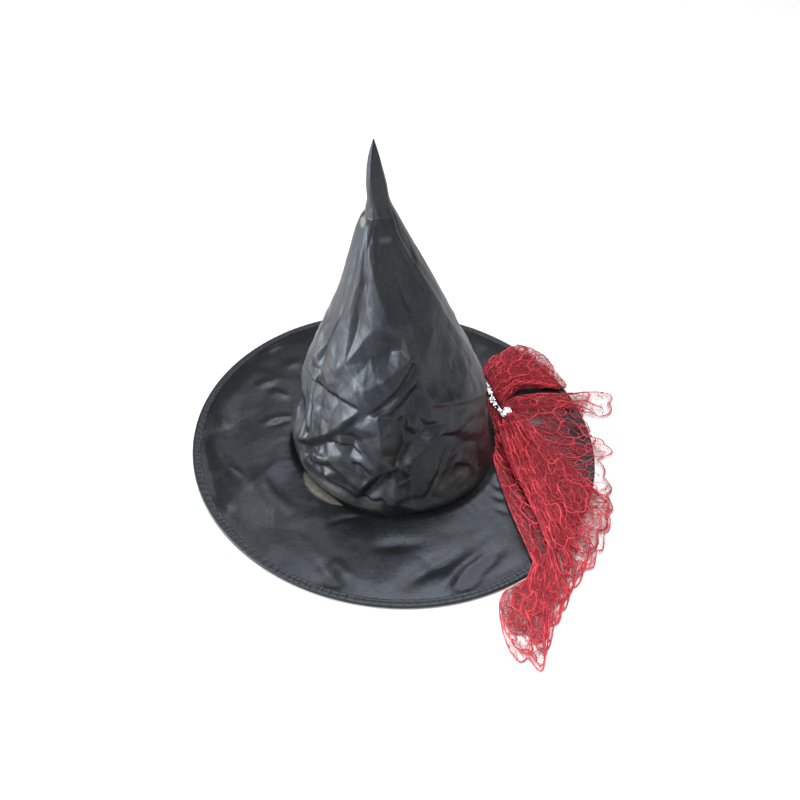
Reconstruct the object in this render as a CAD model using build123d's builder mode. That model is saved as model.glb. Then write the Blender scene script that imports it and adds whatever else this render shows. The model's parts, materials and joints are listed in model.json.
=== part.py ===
from build123d import *
from math import cos, radians, sin, sqrt
import os

# Witch hat of black taffeta with a red lace scarf gathered at one side of the crown.
# Millimetres, +Z up.  The origin is the centre of the head opening, in the plane that the
# brim stands on; -Y is the front and +X is the side that carries the lace.

# ---- driving dimensions ------------------------------------------------------------------
BRIM_R = 190.0            # outside of the edge binding
HEAD_R = 88.0             # inside of the sweatband, a 553 mm head
HAT_HEIGHT = 317.0        # up to the point of the tip
CLOTH = 0.5               # taffeta, as one layer
GAP = 0.1                 # between layers that are only sewn together

INTERLINING = 1.2         # stiff non-woven layer inside the brim
BINDING_WIDTH = 7.0       # how far the folded tape reaches in over the brim
BINDING_FOLD_R = 0.9      # rounding of the tape's folded edge

WIRE_R = 0.7              # spring wire hoop in the brim's edge
WIRE_RING_R = 188.4       # radius of the hoop's own circle
JOINER_R = 1.05           # crimped sleeve over the hoop's two ends
JOINER_ARC = 5.0          # degrees of the hoop that the sleeve covers
WIRE_END_GAP = 0.6        # degrees between the hoop's ends

CROWN_BASE_R = 92.5       # outside of the crown at the brim
CROWN_STATIONS = [        # height and outside radius, up to the tuck below the tip
    (0.5, CROWN_BASE_R),
    (18.0, 91.4),
    (40.0, 88.0),
    (80.0, 81.5),
    (120.0, 67.0),
    (165.0, 48.0),
    (210.0, 31.0),
    (252.0, 14.5),
]
TIP_LEAN = 34.5           # how far the point leans to -X
LEAN_POWER = 1.35         # the lean grows towards the top

HINGE_HEIGHT = 258.0      # the tuck, where the limp tip folds over
TIP_FOOT_R = 9.0          # rounded foot of the tip, centred on the fold
TIP_MID = (6.0, 33.0)     # radius and height above the fold
TIP_POINT_R = 0.8

SWEATBAND_THICK = 0.8
SWEATBAND_HEIGHT = 16.0
THREAD = 0.3              # sewing thread, as a raised line

LACE_HINGE_X = 108.0      # line that the loose lace lifts about, just past the gather
LACE_HINGE_CLEAR = 6.0    # loose lace starts this far outside the line
LACE_OVER_BRIM = 3.7      # underside of the lace where it lies on the brim
LACE_TOP = 9.0            # top of the lace's soft folds on the brim
LOBE_TOP = 18.0           # top of the bunched lobe at the back
LACE_FLOOR_TOP = 6.0      # lace beyond the brim, lying on what the hat stands on
LACE_EDGE_CLEAR = 1.2     # from the binding to the lace that has dropped past it
GATHER_TOP = 22.0         # top of the bunch that is sewn to the crown

SEQUIN_R = 2.2
SEQUIN_THICK = 0.3
SEQUIN_COUNT = 16
STONE_R = 4.0             # clear stone with a flat back
STONE_TABLE_R = 2.4
STONE_AT = (102.5, 26.0)

# ---- sizes that follow -------------------------------------------------------------------
under_z = CLOTH                          # the binding's lower leg is below the brim
core_z = under_z + CLOTH
top_z = core_z + INTERLINING
brim_face_z = top_z + CLOTH
binding_top_z = brim_face_z + CLOTH
layer_r = WIRE_RING_R - JOINER_R - GAP / 2      # the brim's layers stop short of the hoop
wire_z = (under_z + brim_face_z) / 2
crown_top_z = CROWN_STATIONS[-1][0]


def lean(height):
    """Where the crown's centre line is, along X, at a height."""
    return -TIP_LEAN * (height / HAT_HEIGHT) ** LEAN_POWER


def crown_radius(height):
    """Outside radius of the crown, straight between two stations."""
    for (low, low_r), (high, high_r) in zip(CROWN_STATIONS, CROWN_STATIONS[1:]):
        if height <= high:
            break
    return low_r + (high_r - low_r) * (height - low) / (high - low)


def radial_plane(azimuth):
    """Upright plane through the Z axis whose X points out at an azimuth."""
    turn = radians(azimuth)
    return Plane(origin=(0, 0, 0), x_dir=(cos(turn), sin(turn), 0), z_dir=(sin(turn), -cos(turn), 0))


def around(radius, azimuth):
    """Point at a radius and an azimuth in the XY plane."""
    return radius * cos(radians(azimuth)), radius * sin(radians(azimuth))


def crown_body(inset):
    """Solid of the crown's shape, drawn in by an inset."""
    with BuildPart() as body:
        for height, radius in CROWN_STATIONS:
            with BuildSketch(Plane.XY.offset(height)):
                with Locations((lean(height), 0)):
                    Circle(radius - inset)
        loft(ruled=True)
    return body.part


def flat_ring(inner_r, outer_r, bottom, thickness):
    """Flat ring about the Z axis."""
    with BuildPart() as ring:
        with BuildSketch(Plane.XY.offset(bottom)):
            Circle(outer_r)
            Circle(inner_r, mode=Mode.SUBTRACT)
        extrude(amount=thickness)
    return ring.part


def save(node, solid):
    """Label a finished piece and write it as a STEP file."""
    solid.label = node
    export_step(solid, f"parts/{node}.step")


os.makedirs("parts", exist_ok=True)

# ---- crown -------------------------------------------------------------------------------
crown_outside = crown_body(0)
crown_inside = crown_body(CLOTH)
lining_outside = crown_body(CLOTH + GAP)
lining_inside = crown_body(2 * CLOTH)

with BuildPart() as crown_cover:
    add(crown_outside)
    add(crown_inside, mode=Mode.SUBTRACT)
save("crown_cover", crown_cover.part)

# The stiffener stops below the tuck, where the cloth is pinched together.
with BuildPart() as crown_interlining:
    add(lining_outside)
    add(lining_inside, mode=Mode.SUBTRACT)
    split(bisect_by=Plane.XY.offset(crown_top_z - 12), keep=Keep.BOTTOM)
save("crown_interlining", crown_interlining.part)

# The tip is the same cloth as the crown.  Its rounded foot sits inside the crown's top rim,
# clear of it all round, so that it can fold over either way.
fold_x = lean(HINGE_HEIGHT)
tip_length = HAT_HEIGHT - HINGE_HEIGHT
tip_plane = Plane(
    origin=(fold_x, 0, HINGE_HEIGHT),
    x_dir=(0, 1, 0),
    z_dir=(-TIP_LEAN - fold_x, 0, tip_length),
)
tip_axis_length = sqrt(tip_length**2 + (TIP_LEAN + fold_x) ** 2)


def tip_body(inset):
    """Solid of the tip: a ball foot that runs up into a long, slightly full point."""
    side = Plane(origin=tip_plane.origin, x_dir=tip_plane.x_dir, z_dir=-tip_plane.y_dir)
    foot_r = TIP_FOOT_R - inset
    peak = tip_axis_length - 4 * inset
    with BuildPart() as body:
        with BuildSketch(side):
            with BuildLine():
                foot = CenterArc((0, 0), foot_r, -90, 90)
                mid = (TIP_MID[0] - inset, TIP_MID[1])
                flank = Spline((foot_r, 0), mid, (TIP_POINT_R, peak - 2), tangents=((0, 1), (-0.1, 1)))
                Polyline(flank @ 1, (0, peak), foot @ 0)
            make_face()
        revolve(axis=Axis(tip_plane.origin, tip_plane.z_dir))
    return body.part


tip_outside = tip_body(0)
tip_inside = tip_body(CLOTH)

with BuildPart() as crown_tip:
    add(tip_outside)
    add(tip_inside, mode=Mode.SUBTRACT)
    with BuildSketch(tip_plane.offset(-TIP_FOOT_R - 1)):
        Circle(TIP_FOOT_R / 2)
    extrude(amount=TIP_FOOT_R / 2, mode=Mode.SUBTRACT)
save("crown_tip", crown_tip.part)

# A few hand stitches hold the tuck, on the left of the front.
tuck_z = crown_top_z - 4
tuck_thread_r = 0.4
tuck_r = crown_radius(tuck_z) + tuck_thread_r + 0.35
tuck_axis = Axis((lean(tuck_z), 0, 0), (0, 0, 1))
with BuildPart() as tuck_stitches:
    for azimuth in range(-172, -80, 24):
        turn = radians(azimuth)
        side = Plane(
            origin=(lean(tuck_z), 0, tuck_z),
            x_dir=(cos(turn), sin(turn), 0),
            z_dir=(sin(turn), -cos(turn), 0),
        )
        with BuildSketch(side):
            with Locations((tuck_r, 0)):
                Circle(tuck_thread_r)
        revolve(axis=tuck_axis, revolution_arc=16)
save("tuck_stitches", tuck_stitches.part)

# ---- brim --------------------------------------------------------------------------------
brim_hole_r = CROWN_BASE_R + GAP
save("brim_under_cover", flat_ring(brim_hole_r, layer_r, under_z, CLOTH))
save("brim_interlining", flat_ring(brim_hole_r, layer_r, core_z, INTERLINING))
save("brim_top_cover", flat_ring(brim_hole_r, layer_r, top_z, CLOTH))

# Folded tape round the edge: a U section, open towards the crown.
with BuildPart() as edge_binding:
    with BuildSketch(Plane.XZ):
        with BuildLine():
            inner = BRIM_R - BINDING_WIDTH
            outer_line = Polyline((inner, 0), (BRIM_R, 0), (BRIM_R, binding_top_z), (inner, binding_top_z))
            Line(outer_line @ 1, outer_line @ 0)
        tape = make_face()
        fillet(tape.vertices().group_by(Axis.X)[-1], BINDING_FOLD_R)
        with BuildLine():
            wall_r = BRIM_R - CLOTH
            slot = Polyline((inner, under_z), (wall_r, under_z), (wall_r, brim_face_z), (inner, brim_face_z))
            Line(slot @ 1, slot @ 0)
        make_face(mode=Mode.SUBTRACT)
    revolve(axis=Axis.Z)
save("edge_binding", edge_binding.part)

stitch_r = BRIM_R - BINDING_WIDTH + 1.2
save("binding_stitching", flat_ring(stitch_r - THREAD, stitch_r + THREAD, binding_top_z, THREAD))

# Spring wire hoop, with its ends at the back inside a crimped sleeve.
joint_azimuth = 90.0
with BuildPart() as edge_wire:
    with BuildSketch(radial_plane(joint_azimuth + WIRE_END_GAP / 2)):
        with Locations((WIRE_RING_R, wire_z)):
            Circle(WIRE_R)
    revolve(axis=Axis.Z, revolution_arc=360 - WIRE_END_GAP)
save("edge_wire", edge_wire.part)

with BuildPart() as wire_joiner:
    with BuildSketch(radial_plane(joint_azimuth - JOINER_ARC / 2)):
        with Locations((WIRE_RING_R, wire_z)):
            Circle(JOINER_R)
            Circle(WIRE_R + 0.02, mode=Mode.SUBTRACT)
    revolve(axis=Axis.Z, revolution_arc=JOINER_ARC)
save("wire_joiner", wire_joiner.part)

# ---- head opening ------------------------------------------------------------------------
band_r = HEAD_R + SWEATBAND_THICK
save("sweatband", flat_ring(HEAD_R, band_r, 0, SWEATBAND_HEIGHT))
save("sweatband_stitching", flat_ring(band_r, band_r + THREAD, 2.0, 2 * THREAD))
save("base_seam_stitching", flat_ring(CROWN_BASE_R + 0.5, CROWN_BASE_R + 1.1, brim_face_z, THREAD))

# ---- lace --------------------------------------------------------------------------------
# The bunch sewn to the crown's side.  It stays with the hat; the loose lace starts past it.
bunch_edge_x = LACE_HINGE_X - 2
with BuildPart() as lace_gather:
    with BuildSketch(Plane.XY.offset(LACE_OVER_BRIM)):
        with BuildLine():
            wall = CenterArc((0, 0), CROWN_BASE_R + 1.9, 60, -84)
            outside = Polyline(wall @ 1, (bunch_edge_x, -58), (bunch_edge_x, 120))
            Spline(outside @ 1, (72, 108), wall @ 0)
        make_face()
    extrude(amount=GATHER_TOP - LACE_OVER_BRIM, taper=12)
save("lace_gather", lace_gather.part)

# Short upright stitches between the bunch and the crown's wall.
with BuildPart() as gather_stitches:
    with BuildSketch(Plane.XY.offset(8)):
        with Locations([around(CROWN_BASE_R + 0.9, azimuth) for azimuth in range(0, 49, 8)]):
            Circle(0.4)
    extrude(amount=10)
save("gather_stitches", gather_stitches.part)

# The loose lace: over the brim, past its edge and down on what the hat stands on.
lace_x = LACE_HINGE_X + LACE_HINGE_CLEAR
with BuildPart() as lace_scarf:
    with BuildSketch(Plane.XY):
        with BuildLine():
            tail_side = Spline((lace_x, -152), (98, -176), (106, -216), (130, -233))
            tail = Spline(tail_side @ 1, (146, -194), (157, -152))
            bulge = Spline(tail @ 1, (177, -124), (202, -50), (197, -8))
            points = Polyline(bulge @ 1, (206, 4), (196, 18), (194, 48), (211, 72), (200, 88), (166, 84))
            back = Spline(points @ 1, (158, 110), (138, 138), (lace_x, 142))
            Line(back @ 1, tail_side @ 0)
        make_face()
    extrude(amount=LACE_TOP)
    with BuildSketch(Plane.XY):
        Circle(BRIM_R + LACE_EDGE_CLEAR)
    extrude(amount=LACE_OVER_BRIM, mode=Mode.SUBTRACT)
    with BuildSketch(Plane.XY.offset(LACE_FLOOR_TOP)):
        Circle(BRIM_R * 2)
        Circle(BRIM_R + LACE_EDGE_CLEAR + 4, mode=Mode.SUBTRACT)
    extrude(amount=LACE_TOP, mode=Mode.SUBTRACT)
    with BuildSketch(Plane.XY.offset(LACE_TOP)):
        with BuildLine():
            lobe = Spline((LACE_HINGE_X + 22, 62), (156, 92), (150, 116), (LACE_HINGE_X + 22, 132))
            Line(lobe @ 1, lobe @ 0)
        make_face()
    extrude(amount=LOBE_TOP - LACE_TOP, taper=10)
save("lace_scarf", lace_scarf.part)

# ---- trim on the gather ------------------------------------------------------------------
trim_z = GATHER_TOP + GAP
with BuildPart() as sequin_trim:
    with BuildSketch(Plane.XY.offset(trim_z)):
        for number in range(SEQUIN_COUNT):
            with Locations(around(98.0, 52 - number * 48 / (SEQUIN_COUNT - 1))):
                Circle(SEQUIN_R)
                Circle(SEQUIN_R / 5, mode=Mode.SUBTRACT)
    extrude(amount=SEQUIN_THICK)
save("sequin_trim", sequin_trim.part)

# Faceted stone: flat back, girdle and table, with eight sides.
stone_z = trim_z + 0.4
with BuildPart() as rhinestone:
    for height, radius in ((0, STONE_R - 0.6), (0.8, STONE_R), (2.6, STONE_TABLE_R)):
        with BuildSketch(Plane.XY.offset(stone_z + height)):
            with Locations(STONE_AT):
                RegularPolygon(radius, 8)
    loft(ruled=True)
save("rhinestone", rhinestone.part)

# Its metal cup, with four claws over the girdle.
with BuildPart() as stone_setting:
    with BuildSketch(Plane.XY.offset(trim_z)):
        with Locations(STONE_AT):
            Circle(STONE_R + 0.9)
    extrude(amount=1.3)
    with BuildSketch(Plane.XY.offset(trim_z + 0.4)):
        with Locations(STONE_AT):
            Circle(STONE_R + GAP)
    extrude(amount=3, mode=Mode.SUBTRACT)
    with BuildSketch(Plane.XY.offset(trim_z + 1.3)):
        with Locations(STONE_AT):
            with PolarLocations(STONE_R + 0.5, 4):
                Rectangle(0.8, 1.2)
    extrude(amount=1.0)
save("stone_setting", stone_setting.part)
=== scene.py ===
import json
import math
import random

import bpy
import numpy as np
from mathutils import Matrix, Vector, geometry
from mathutils.bvhtree import BVHTree


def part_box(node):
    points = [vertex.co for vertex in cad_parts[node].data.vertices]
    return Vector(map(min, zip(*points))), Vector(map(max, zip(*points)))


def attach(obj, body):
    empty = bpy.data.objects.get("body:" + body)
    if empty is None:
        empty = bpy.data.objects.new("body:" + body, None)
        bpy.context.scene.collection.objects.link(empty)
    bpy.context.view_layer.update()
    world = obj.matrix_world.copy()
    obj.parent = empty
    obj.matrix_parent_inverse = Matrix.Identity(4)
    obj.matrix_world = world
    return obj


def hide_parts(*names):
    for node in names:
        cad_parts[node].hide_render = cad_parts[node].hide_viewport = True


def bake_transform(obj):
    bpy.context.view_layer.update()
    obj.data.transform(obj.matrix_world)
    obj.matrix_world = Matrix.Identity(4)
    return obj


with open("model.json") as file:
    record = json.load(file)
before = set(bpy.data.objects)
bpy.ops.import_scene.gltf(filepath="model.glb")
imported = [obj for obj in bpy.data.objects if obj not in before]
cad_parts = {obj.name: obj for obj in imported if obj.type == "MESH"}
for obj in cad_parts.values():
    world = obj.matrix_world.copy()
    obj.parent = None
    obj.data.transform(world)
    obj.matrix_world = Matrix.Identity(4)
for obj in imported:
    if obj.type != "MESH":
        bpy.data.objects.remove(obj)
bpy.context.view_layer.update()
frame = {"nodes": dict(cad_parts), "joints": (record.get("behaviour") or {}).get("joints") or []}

MM = 0.001

# ---- sizes from the frame ----------------------------------------------------------------
BRIM_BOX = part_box("edge_binding")
BRIM_R = BRIM_BOX[1][0]
BRIM_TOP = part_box("brim_top_cover")[1][2]
BRIM_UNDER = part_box("brim_under_cover")[0][2]
LAYER_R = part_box("brim_top_cover")[1][0]
BINDING_TOP = BRIM_BOX[1][2]
STITCH_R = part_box("binding_stitching")[1][0]
CROWN_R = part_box("crown_cover")[1][0]
TUCK_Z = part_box("crown_cover")[1][2]
HAT_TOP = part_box("crown_tip")[1][2]
JOINTS = {joint["name"]: joint for joint in frame["joints"]}


# ---- node materials ----------------------------------------------------------------------
class Shader:
    """A node material being built: add() makes a node, link() joins two sockets."""

    def __init__(self, name):
        self.material = bpy.data.materials.new(name)
        self.material.use_nodes = True
        self.tree = self.material.node_tree
        self.surface = self.tree.nodes["Principled BSDF"]

    def add(self, kind, **values):
        """Adds a node; a value named after one of its inputs sets that input, others its properties."""
        node = self.tree.nodes.new(kind)
        for name, value in values.items():
            if name in node.inputs:
                node.inputs[name].default_value = value
            else:
                setattr(node, name, value)
        return node

    def link(self, start, end):
        self.tree.links.new(start, end)

    def set(self, **values):
        """Sets values of the surface's inputs, named with _ for a space."""
        for name, value in values.items():
            self.surface.inputs[name.replace("_", " ")].default_value = value

    def feed(self, **sockets):
        """Links sockets to the surface's inputs, named with _ for a space."""
        for name, socket in sockets.items():
            self.link(socket, self.surface.inputs[name.replace("_", " ")])

    def uv(self, stretch=(1, 1, 1), turn=0.0):
        """Cloth coordinates in metres, from the UV map, stretched and turned."""
        place = self.add("ShaderNodeMapping")
        place.inputs["Scale"].default_value = stretch
        place.inputs["Rotation"].default_value = (0, 0, turn)
        self.link(self.add("ShaderNodeTexCoord").outputs["UV"], place.inputs["Vector"])
        return place.outputs["Vector"]

    def space(self, stretch=(1, 1, 1)):
        """Place in the object's own space, in metres."""
        place = self.add("ShaderNodeMapping")
        place.inputs["Scale"].default_value = stretch
        self.link(self.add("ShaderNodeTexCoord").outputs["Object"], place.inputs["Vector"])
        return place.outputs["Vector"]

    def noise(self, vector, scale, detail=3.0, roughness=0.5):
        node = self.add("ShaderNodeTexNoise", Scale=scale, Detail=detail, Roughness=roughness)
        self.link(vector, node.inputs["Vector"])
        return node.outputs["Fac"]

    def ramp(self, value, *stops):
        """Colour ramp from (position, colour) stops; a number stands for a grey."""
        node = self.add("ShaderNodeValToRGB")
        points = node.color_ramp.elements
        while len(points) < len(stops):
            points.new(0.5)
        for point, (position, colour) in zip(points, stops):
            point.position = position
            point.color = (colour,) * 3 + (1,) if isinstance(colour, (int, float)) else (*colour, 1)
        self.link(value, node.inputs["Fac"])
        return node.outputs["Color"]

    def math(self, operation, first, second):
        node = self.add("ShaderNodeMath", operation=operation)
        for socket, value in zip(node.inputs, (first, second)):
            if isinstance(value, (int, float)):
                socket.default_value = value
            else:
                self.link(value, socket)
        return node.outputs["Value"]

    def blend(self, factor, first, second):
        """Mix of two colours."""
        node = self.add("ShaderNodeMix", data_type="RGBA")
        sockets = [node.inputs[0], node.inputs[6], node.inputs[7]]
        for socket, value in zip(sockets, (factor, first, second)):
            if isinstance(value, (int, float)):
                socket.default_value = value
            elif isinstance(value, tuple):
                socket.default_value = (*value, 1)
            else:
                self.link(value, socket)
        return node.outputs[2]

    def bump(self, height, depth, strength=1.0, under=None):
        """Bump of a depth in metres; under is a bump that it lies on."""
        node = self.add("ShaderNodeBump", Strength=strength, Distance=depth)
        self.link(height, node.inputs["Height"])
        if under:
            self.link(under, node.inputs["Normal"])
        return node.outputs["Normal"]

    def weave(self, vector, pitch):
        """Height of a plain weave: warp and weft cross over and under each other."""
        waves = []
        for direction in ("X", "Y"):
            wave = self.add("ShaderNodeTexWave", bands_direction=direction, wave_type="BANDS")
            wave.inputs["Scale"].default_value = 0.1 * math.pi / pitch
            wave.inputs["Distortion"].default_value = 0.4
            self.link(vector, wave.inputs["Vector"])
            waves.append(wave.outputs["Fac"])
        return self.math("MULTIPLY", waves[0], waves[1])


# Colour of the painted khaki highlights on the crown's and brim's cloth.
KHAKI_HIGHLIGHT = (0.215, 0.207, 0.18)


def taffeta(name, cool, warm, gloss, weave_pitch=0.45 * MM, crinkle_depth=0.08 * MM):
    """Thin black taffeta: cool sheen, cool and warm patches at random, a painted pale khaki highlight
    where the mesh asks for it, slubs along the weft, a fine plain weave.
    """
    shader = Shader(name)
    cloth = shader.uv()
    patches = shader.noise(shader.space(), 22.0, 4.0, 0.55)
    slubs = shader.noise(shader.uv((130, 1100, 1)), 1.0, 4.0, 0.65)
    warp = shader.noise(shader.uv((1300, 110, 1)), 1.0, 3.0, 0.6)
    weft_tone = shader.ramp(slubs, (0.3, 0.35), (0.7, 1.0))
    threads = shader.math("MULTIPLY", weft_tone, shader.ramp(warp, (0.3, 0.5), (0.7, 1.0)))
    tint = shader.blend(shader.ramp(patches, (0.42, 0), (0.66, 1)), cool, warm)
    cloth_colour = shader.blend(threads, tuple(0.5 * c for c in cool), tint)
    # painted highlight: the colour turns to a pale khaki where the mesh's attribute marks it
    highlight_field = shader.add("ShaderNodeAttribute", attribute_name="paleness").outputs["Fac"]
    uneven = shader.ramp(shader.noise(shader.space(), 150.0, 6.0, 0.8), (0.34, 0.45), (0.62, 1.0))
    paleness = shader.math("MULTIPLY", highlight_field, uneven)
    shader.feed(Base_Color=shader.blend(paleness, cloth_colour, KHAKI_HIGHLIGHT))
    rough = shader.math("ADD", shader.math("MULTIPLY", patches, 0.16), gloss - 0.08)
    rough = shader.math("ADD", rough, shader.math("MULTIPLY", warp, 0.10))
    shader.feed(Roughness=rough)
    shine = shader.math("ADD", shader.math("MULTIPLY", threads, 0.5), 0.22)
    shader.feed(Specular_IOR_Level=shine)
    weave = shader.bump(shader.weave(cloth, weave_pitch), 0.05 * MM, 0.35)
    slub_bump = shader.bump(threads, 0.12 * MM, 0.5, weave)
    soft = shader.bump(shader.noise(shader.space(), 260.0, 4.0, 0.6), 0.25 * MM, 0.6, slub_bump)
    crinkle = shader.bump(shader.noise(shader.space(), 750.0, 4.0, 0.7), crinkle_depth, 0.85, soft)
    shader.feed(Normal=crinkle)
    shader.set(Sheen_Weight=0.02, Sheen_Roughness=0.35, Sheen_Tint=(0.72, 0.8, 1.0, 1))
    shader.set(Anisotropic=0.35, Specular_Tint=(0.78, 0.88, 1.0, 1))
    return shader.material


# ---- meshes ------------------------------------------------------------------------------
def stand_for(piece, slot, *nodes):
    """Keeps a piece with the hat and hides the CAD nodes that it stands for; slot is not used."""
    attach(piece, "hat")
    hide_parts(*nodes)


def make_mesh(name, points, faces, material, uvs=None, smooth=True):
    """New object from points in metres; uvs are one per point, in metres of cloth."""
    mesh = bpy.data.meshes.new(name)
    mesh.from_pydata([tuple(p) for p in points], [], [tuple(f) for f in faces])
    mesh.update()
    if uvs is not None:
        layer = mesh.uv_layers.new(name="UVMap")
        corners = np.empty(len(mesh.loops), dtype=np.int32)
        mesh.loops.foreach_get("vertex_index", corners)
        layer.data.foreach_set("uv", np.asarray(uvs, dtype=np.float32)[corners].ravel())
    mesh.polygons.foreach_set("use_smooth", [smooth] * len(mesh.polygons))
    mesh.materials.append(material)
    piece = bpy.data.objects.new(name, mesh)
    bpy.context.scene.collection.objects.link(piece)
    return piece


def mark_paleness(piece, values):
    """Stores how far the cloth is painted a pale khaki at each point, a painted highlight, for its
    material.
    """
    paleness = piece.data.attributes.new("paleness", "FLOAT", "POINT")
    paleness.data.foreach_set("value", np.clip(values, 0, 1).astype(np.float32).ravel())


def grid_faces(rows, columns, closed):
    """Quads over a grid of points stored row by row; closed joins the last column to the first."""
    row, column = np.meshgrid(np.arange(rows - 1), np.arange(columns - (not closed)), indexing="ij")
    here = row * columns + column
    right = row * columns + (column + 1) % columns
    return np.stack([here, right, right + columns, here + columns], -1).reshape(-1, 4)


def smoothstep(value, low, high):
    t = np.clip((value - low) / (high - low), 0, 1)
    return t * t * (3 - 2 * t)


def crumple(x, y, spacing, depth, seed, lines=()):
    """Flat facets over the points (x, y): crushed cloth bends along straight creases.

    The facets' corners are random, a spacing apart and of a random height, and keep clear of
    the points (x, y, height) of the lines, which are creases as well.
    """
    rng = random.Random(seed)
    margin = 2 * spacing
    low_x, low_y = x.min() - margin, y.min() - margin
    columns = int((x.max() + margin - low_x) / spacing) + 1
    rows = int((y.max() + margin - low_y) / spacing) + 1
    corners = list(dict.fromkeys(corner for line in lines for corner in line))
    given = np.array(corners)[:, :2] if corners else np.empty((0, 2))
    pairs = [pair for line in lines for pair in zip(line, line[1:])]
    creases = [(corners.index(a), corners.index(b)) for a, b in pairs]
    for i in range(columns):
        for j in range(rows):
            spot = low_x + (i + rng.random()) * spacing, low_y + (j + rng.random()) * spacing
            height = rng.gauss(0, depth)
            if not len(given) or np.hypot(*(given - spot).T).min() > 1.2 * spacing:
                corners.append((*spot, height))
    heights = [corner[2] for corner in corners]
    spots = [Vector(corner[:2]) for corner in corners]
    flat, _, triangles, source, _, _ = geometry.delaunay_2d_cdt(spots, creases, [], 0, 1e-6)
    peaks = [(p[0], p[1], heights[s[0]] if s else 0.0) for p, s in zip(flat, source)]
    tree = BVHTree.FromPolygons(peaks, triangles)
    down = Vector((0, 0, -1))
    found = np.zeros(x.size)
    for index, (px, py) in enumerate(zip(x.ravel(), y.ravel())):
        hit = tree.ray_cast(Vector((px, py, 100.0)), down)[0]
        if hit:
            found[index] = hit[2]
    return found.reshape(x.shape)


def polyline_distance(x, y, points):
    """Signed distance from each (x, y) to a polyline, positive on its left, and how far along it is."""
    best = np.full(x.shape, 1e9)
    signed = np.zeros(x.shape)
    along = np.zeros(x.shape)
    lengths = [math.dist(a, b) for a, b in zip(points, points[1:])]
    done = 0.0
    for (ax, ay), (bx, by), length in zip(points, points[1:], lengths):
        dx, dy = (bx - ax) / length, (by - ay) / length
        reach = np.clip((x - ax) * dx + (y - ay) * dy, 0, length)
        gap = np.hypot(x - ax - dx * reach, y - ay - dy * reach)
        side = np.sign(dx * (y - ay) - dy * (x - ax))
        closer = gap < best
        best = np.where(closer, gap, best)
        signed = np.where(closer, side * gap, signed)
        along = np.where(closer, (done + reach) / sum(lengths), along)
        done += length
    return signed, along


# ---- crown -------------------------------------------------------------------------------
# The crown's outline from the brim up to the point: height, outside radius and how far the
# centre line leans along X, in millimetres.
CROWN_OUTLINE = (
    (0, 92.3, 0), (8, 92.6, -0.4), (25, 90.5, -2.6), (51, 86, -4.2), (79, 81.5, -6.5),
    (108, 71.5, -8.5), (136, 59.5, -10.3), (165, 48, -13), (193, 37.5, -17), (219, 27.5, -21.8),
    (241, 19, -25.8), (254, 13.4, -27), (263, 8.9, -27.8), (270, 8.2, -29), (278, 8.4, -30.4),
    (288, 7.2, -32), (305, 3.8, -33.7), (317, 0.4, -34.5),
)
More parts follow.
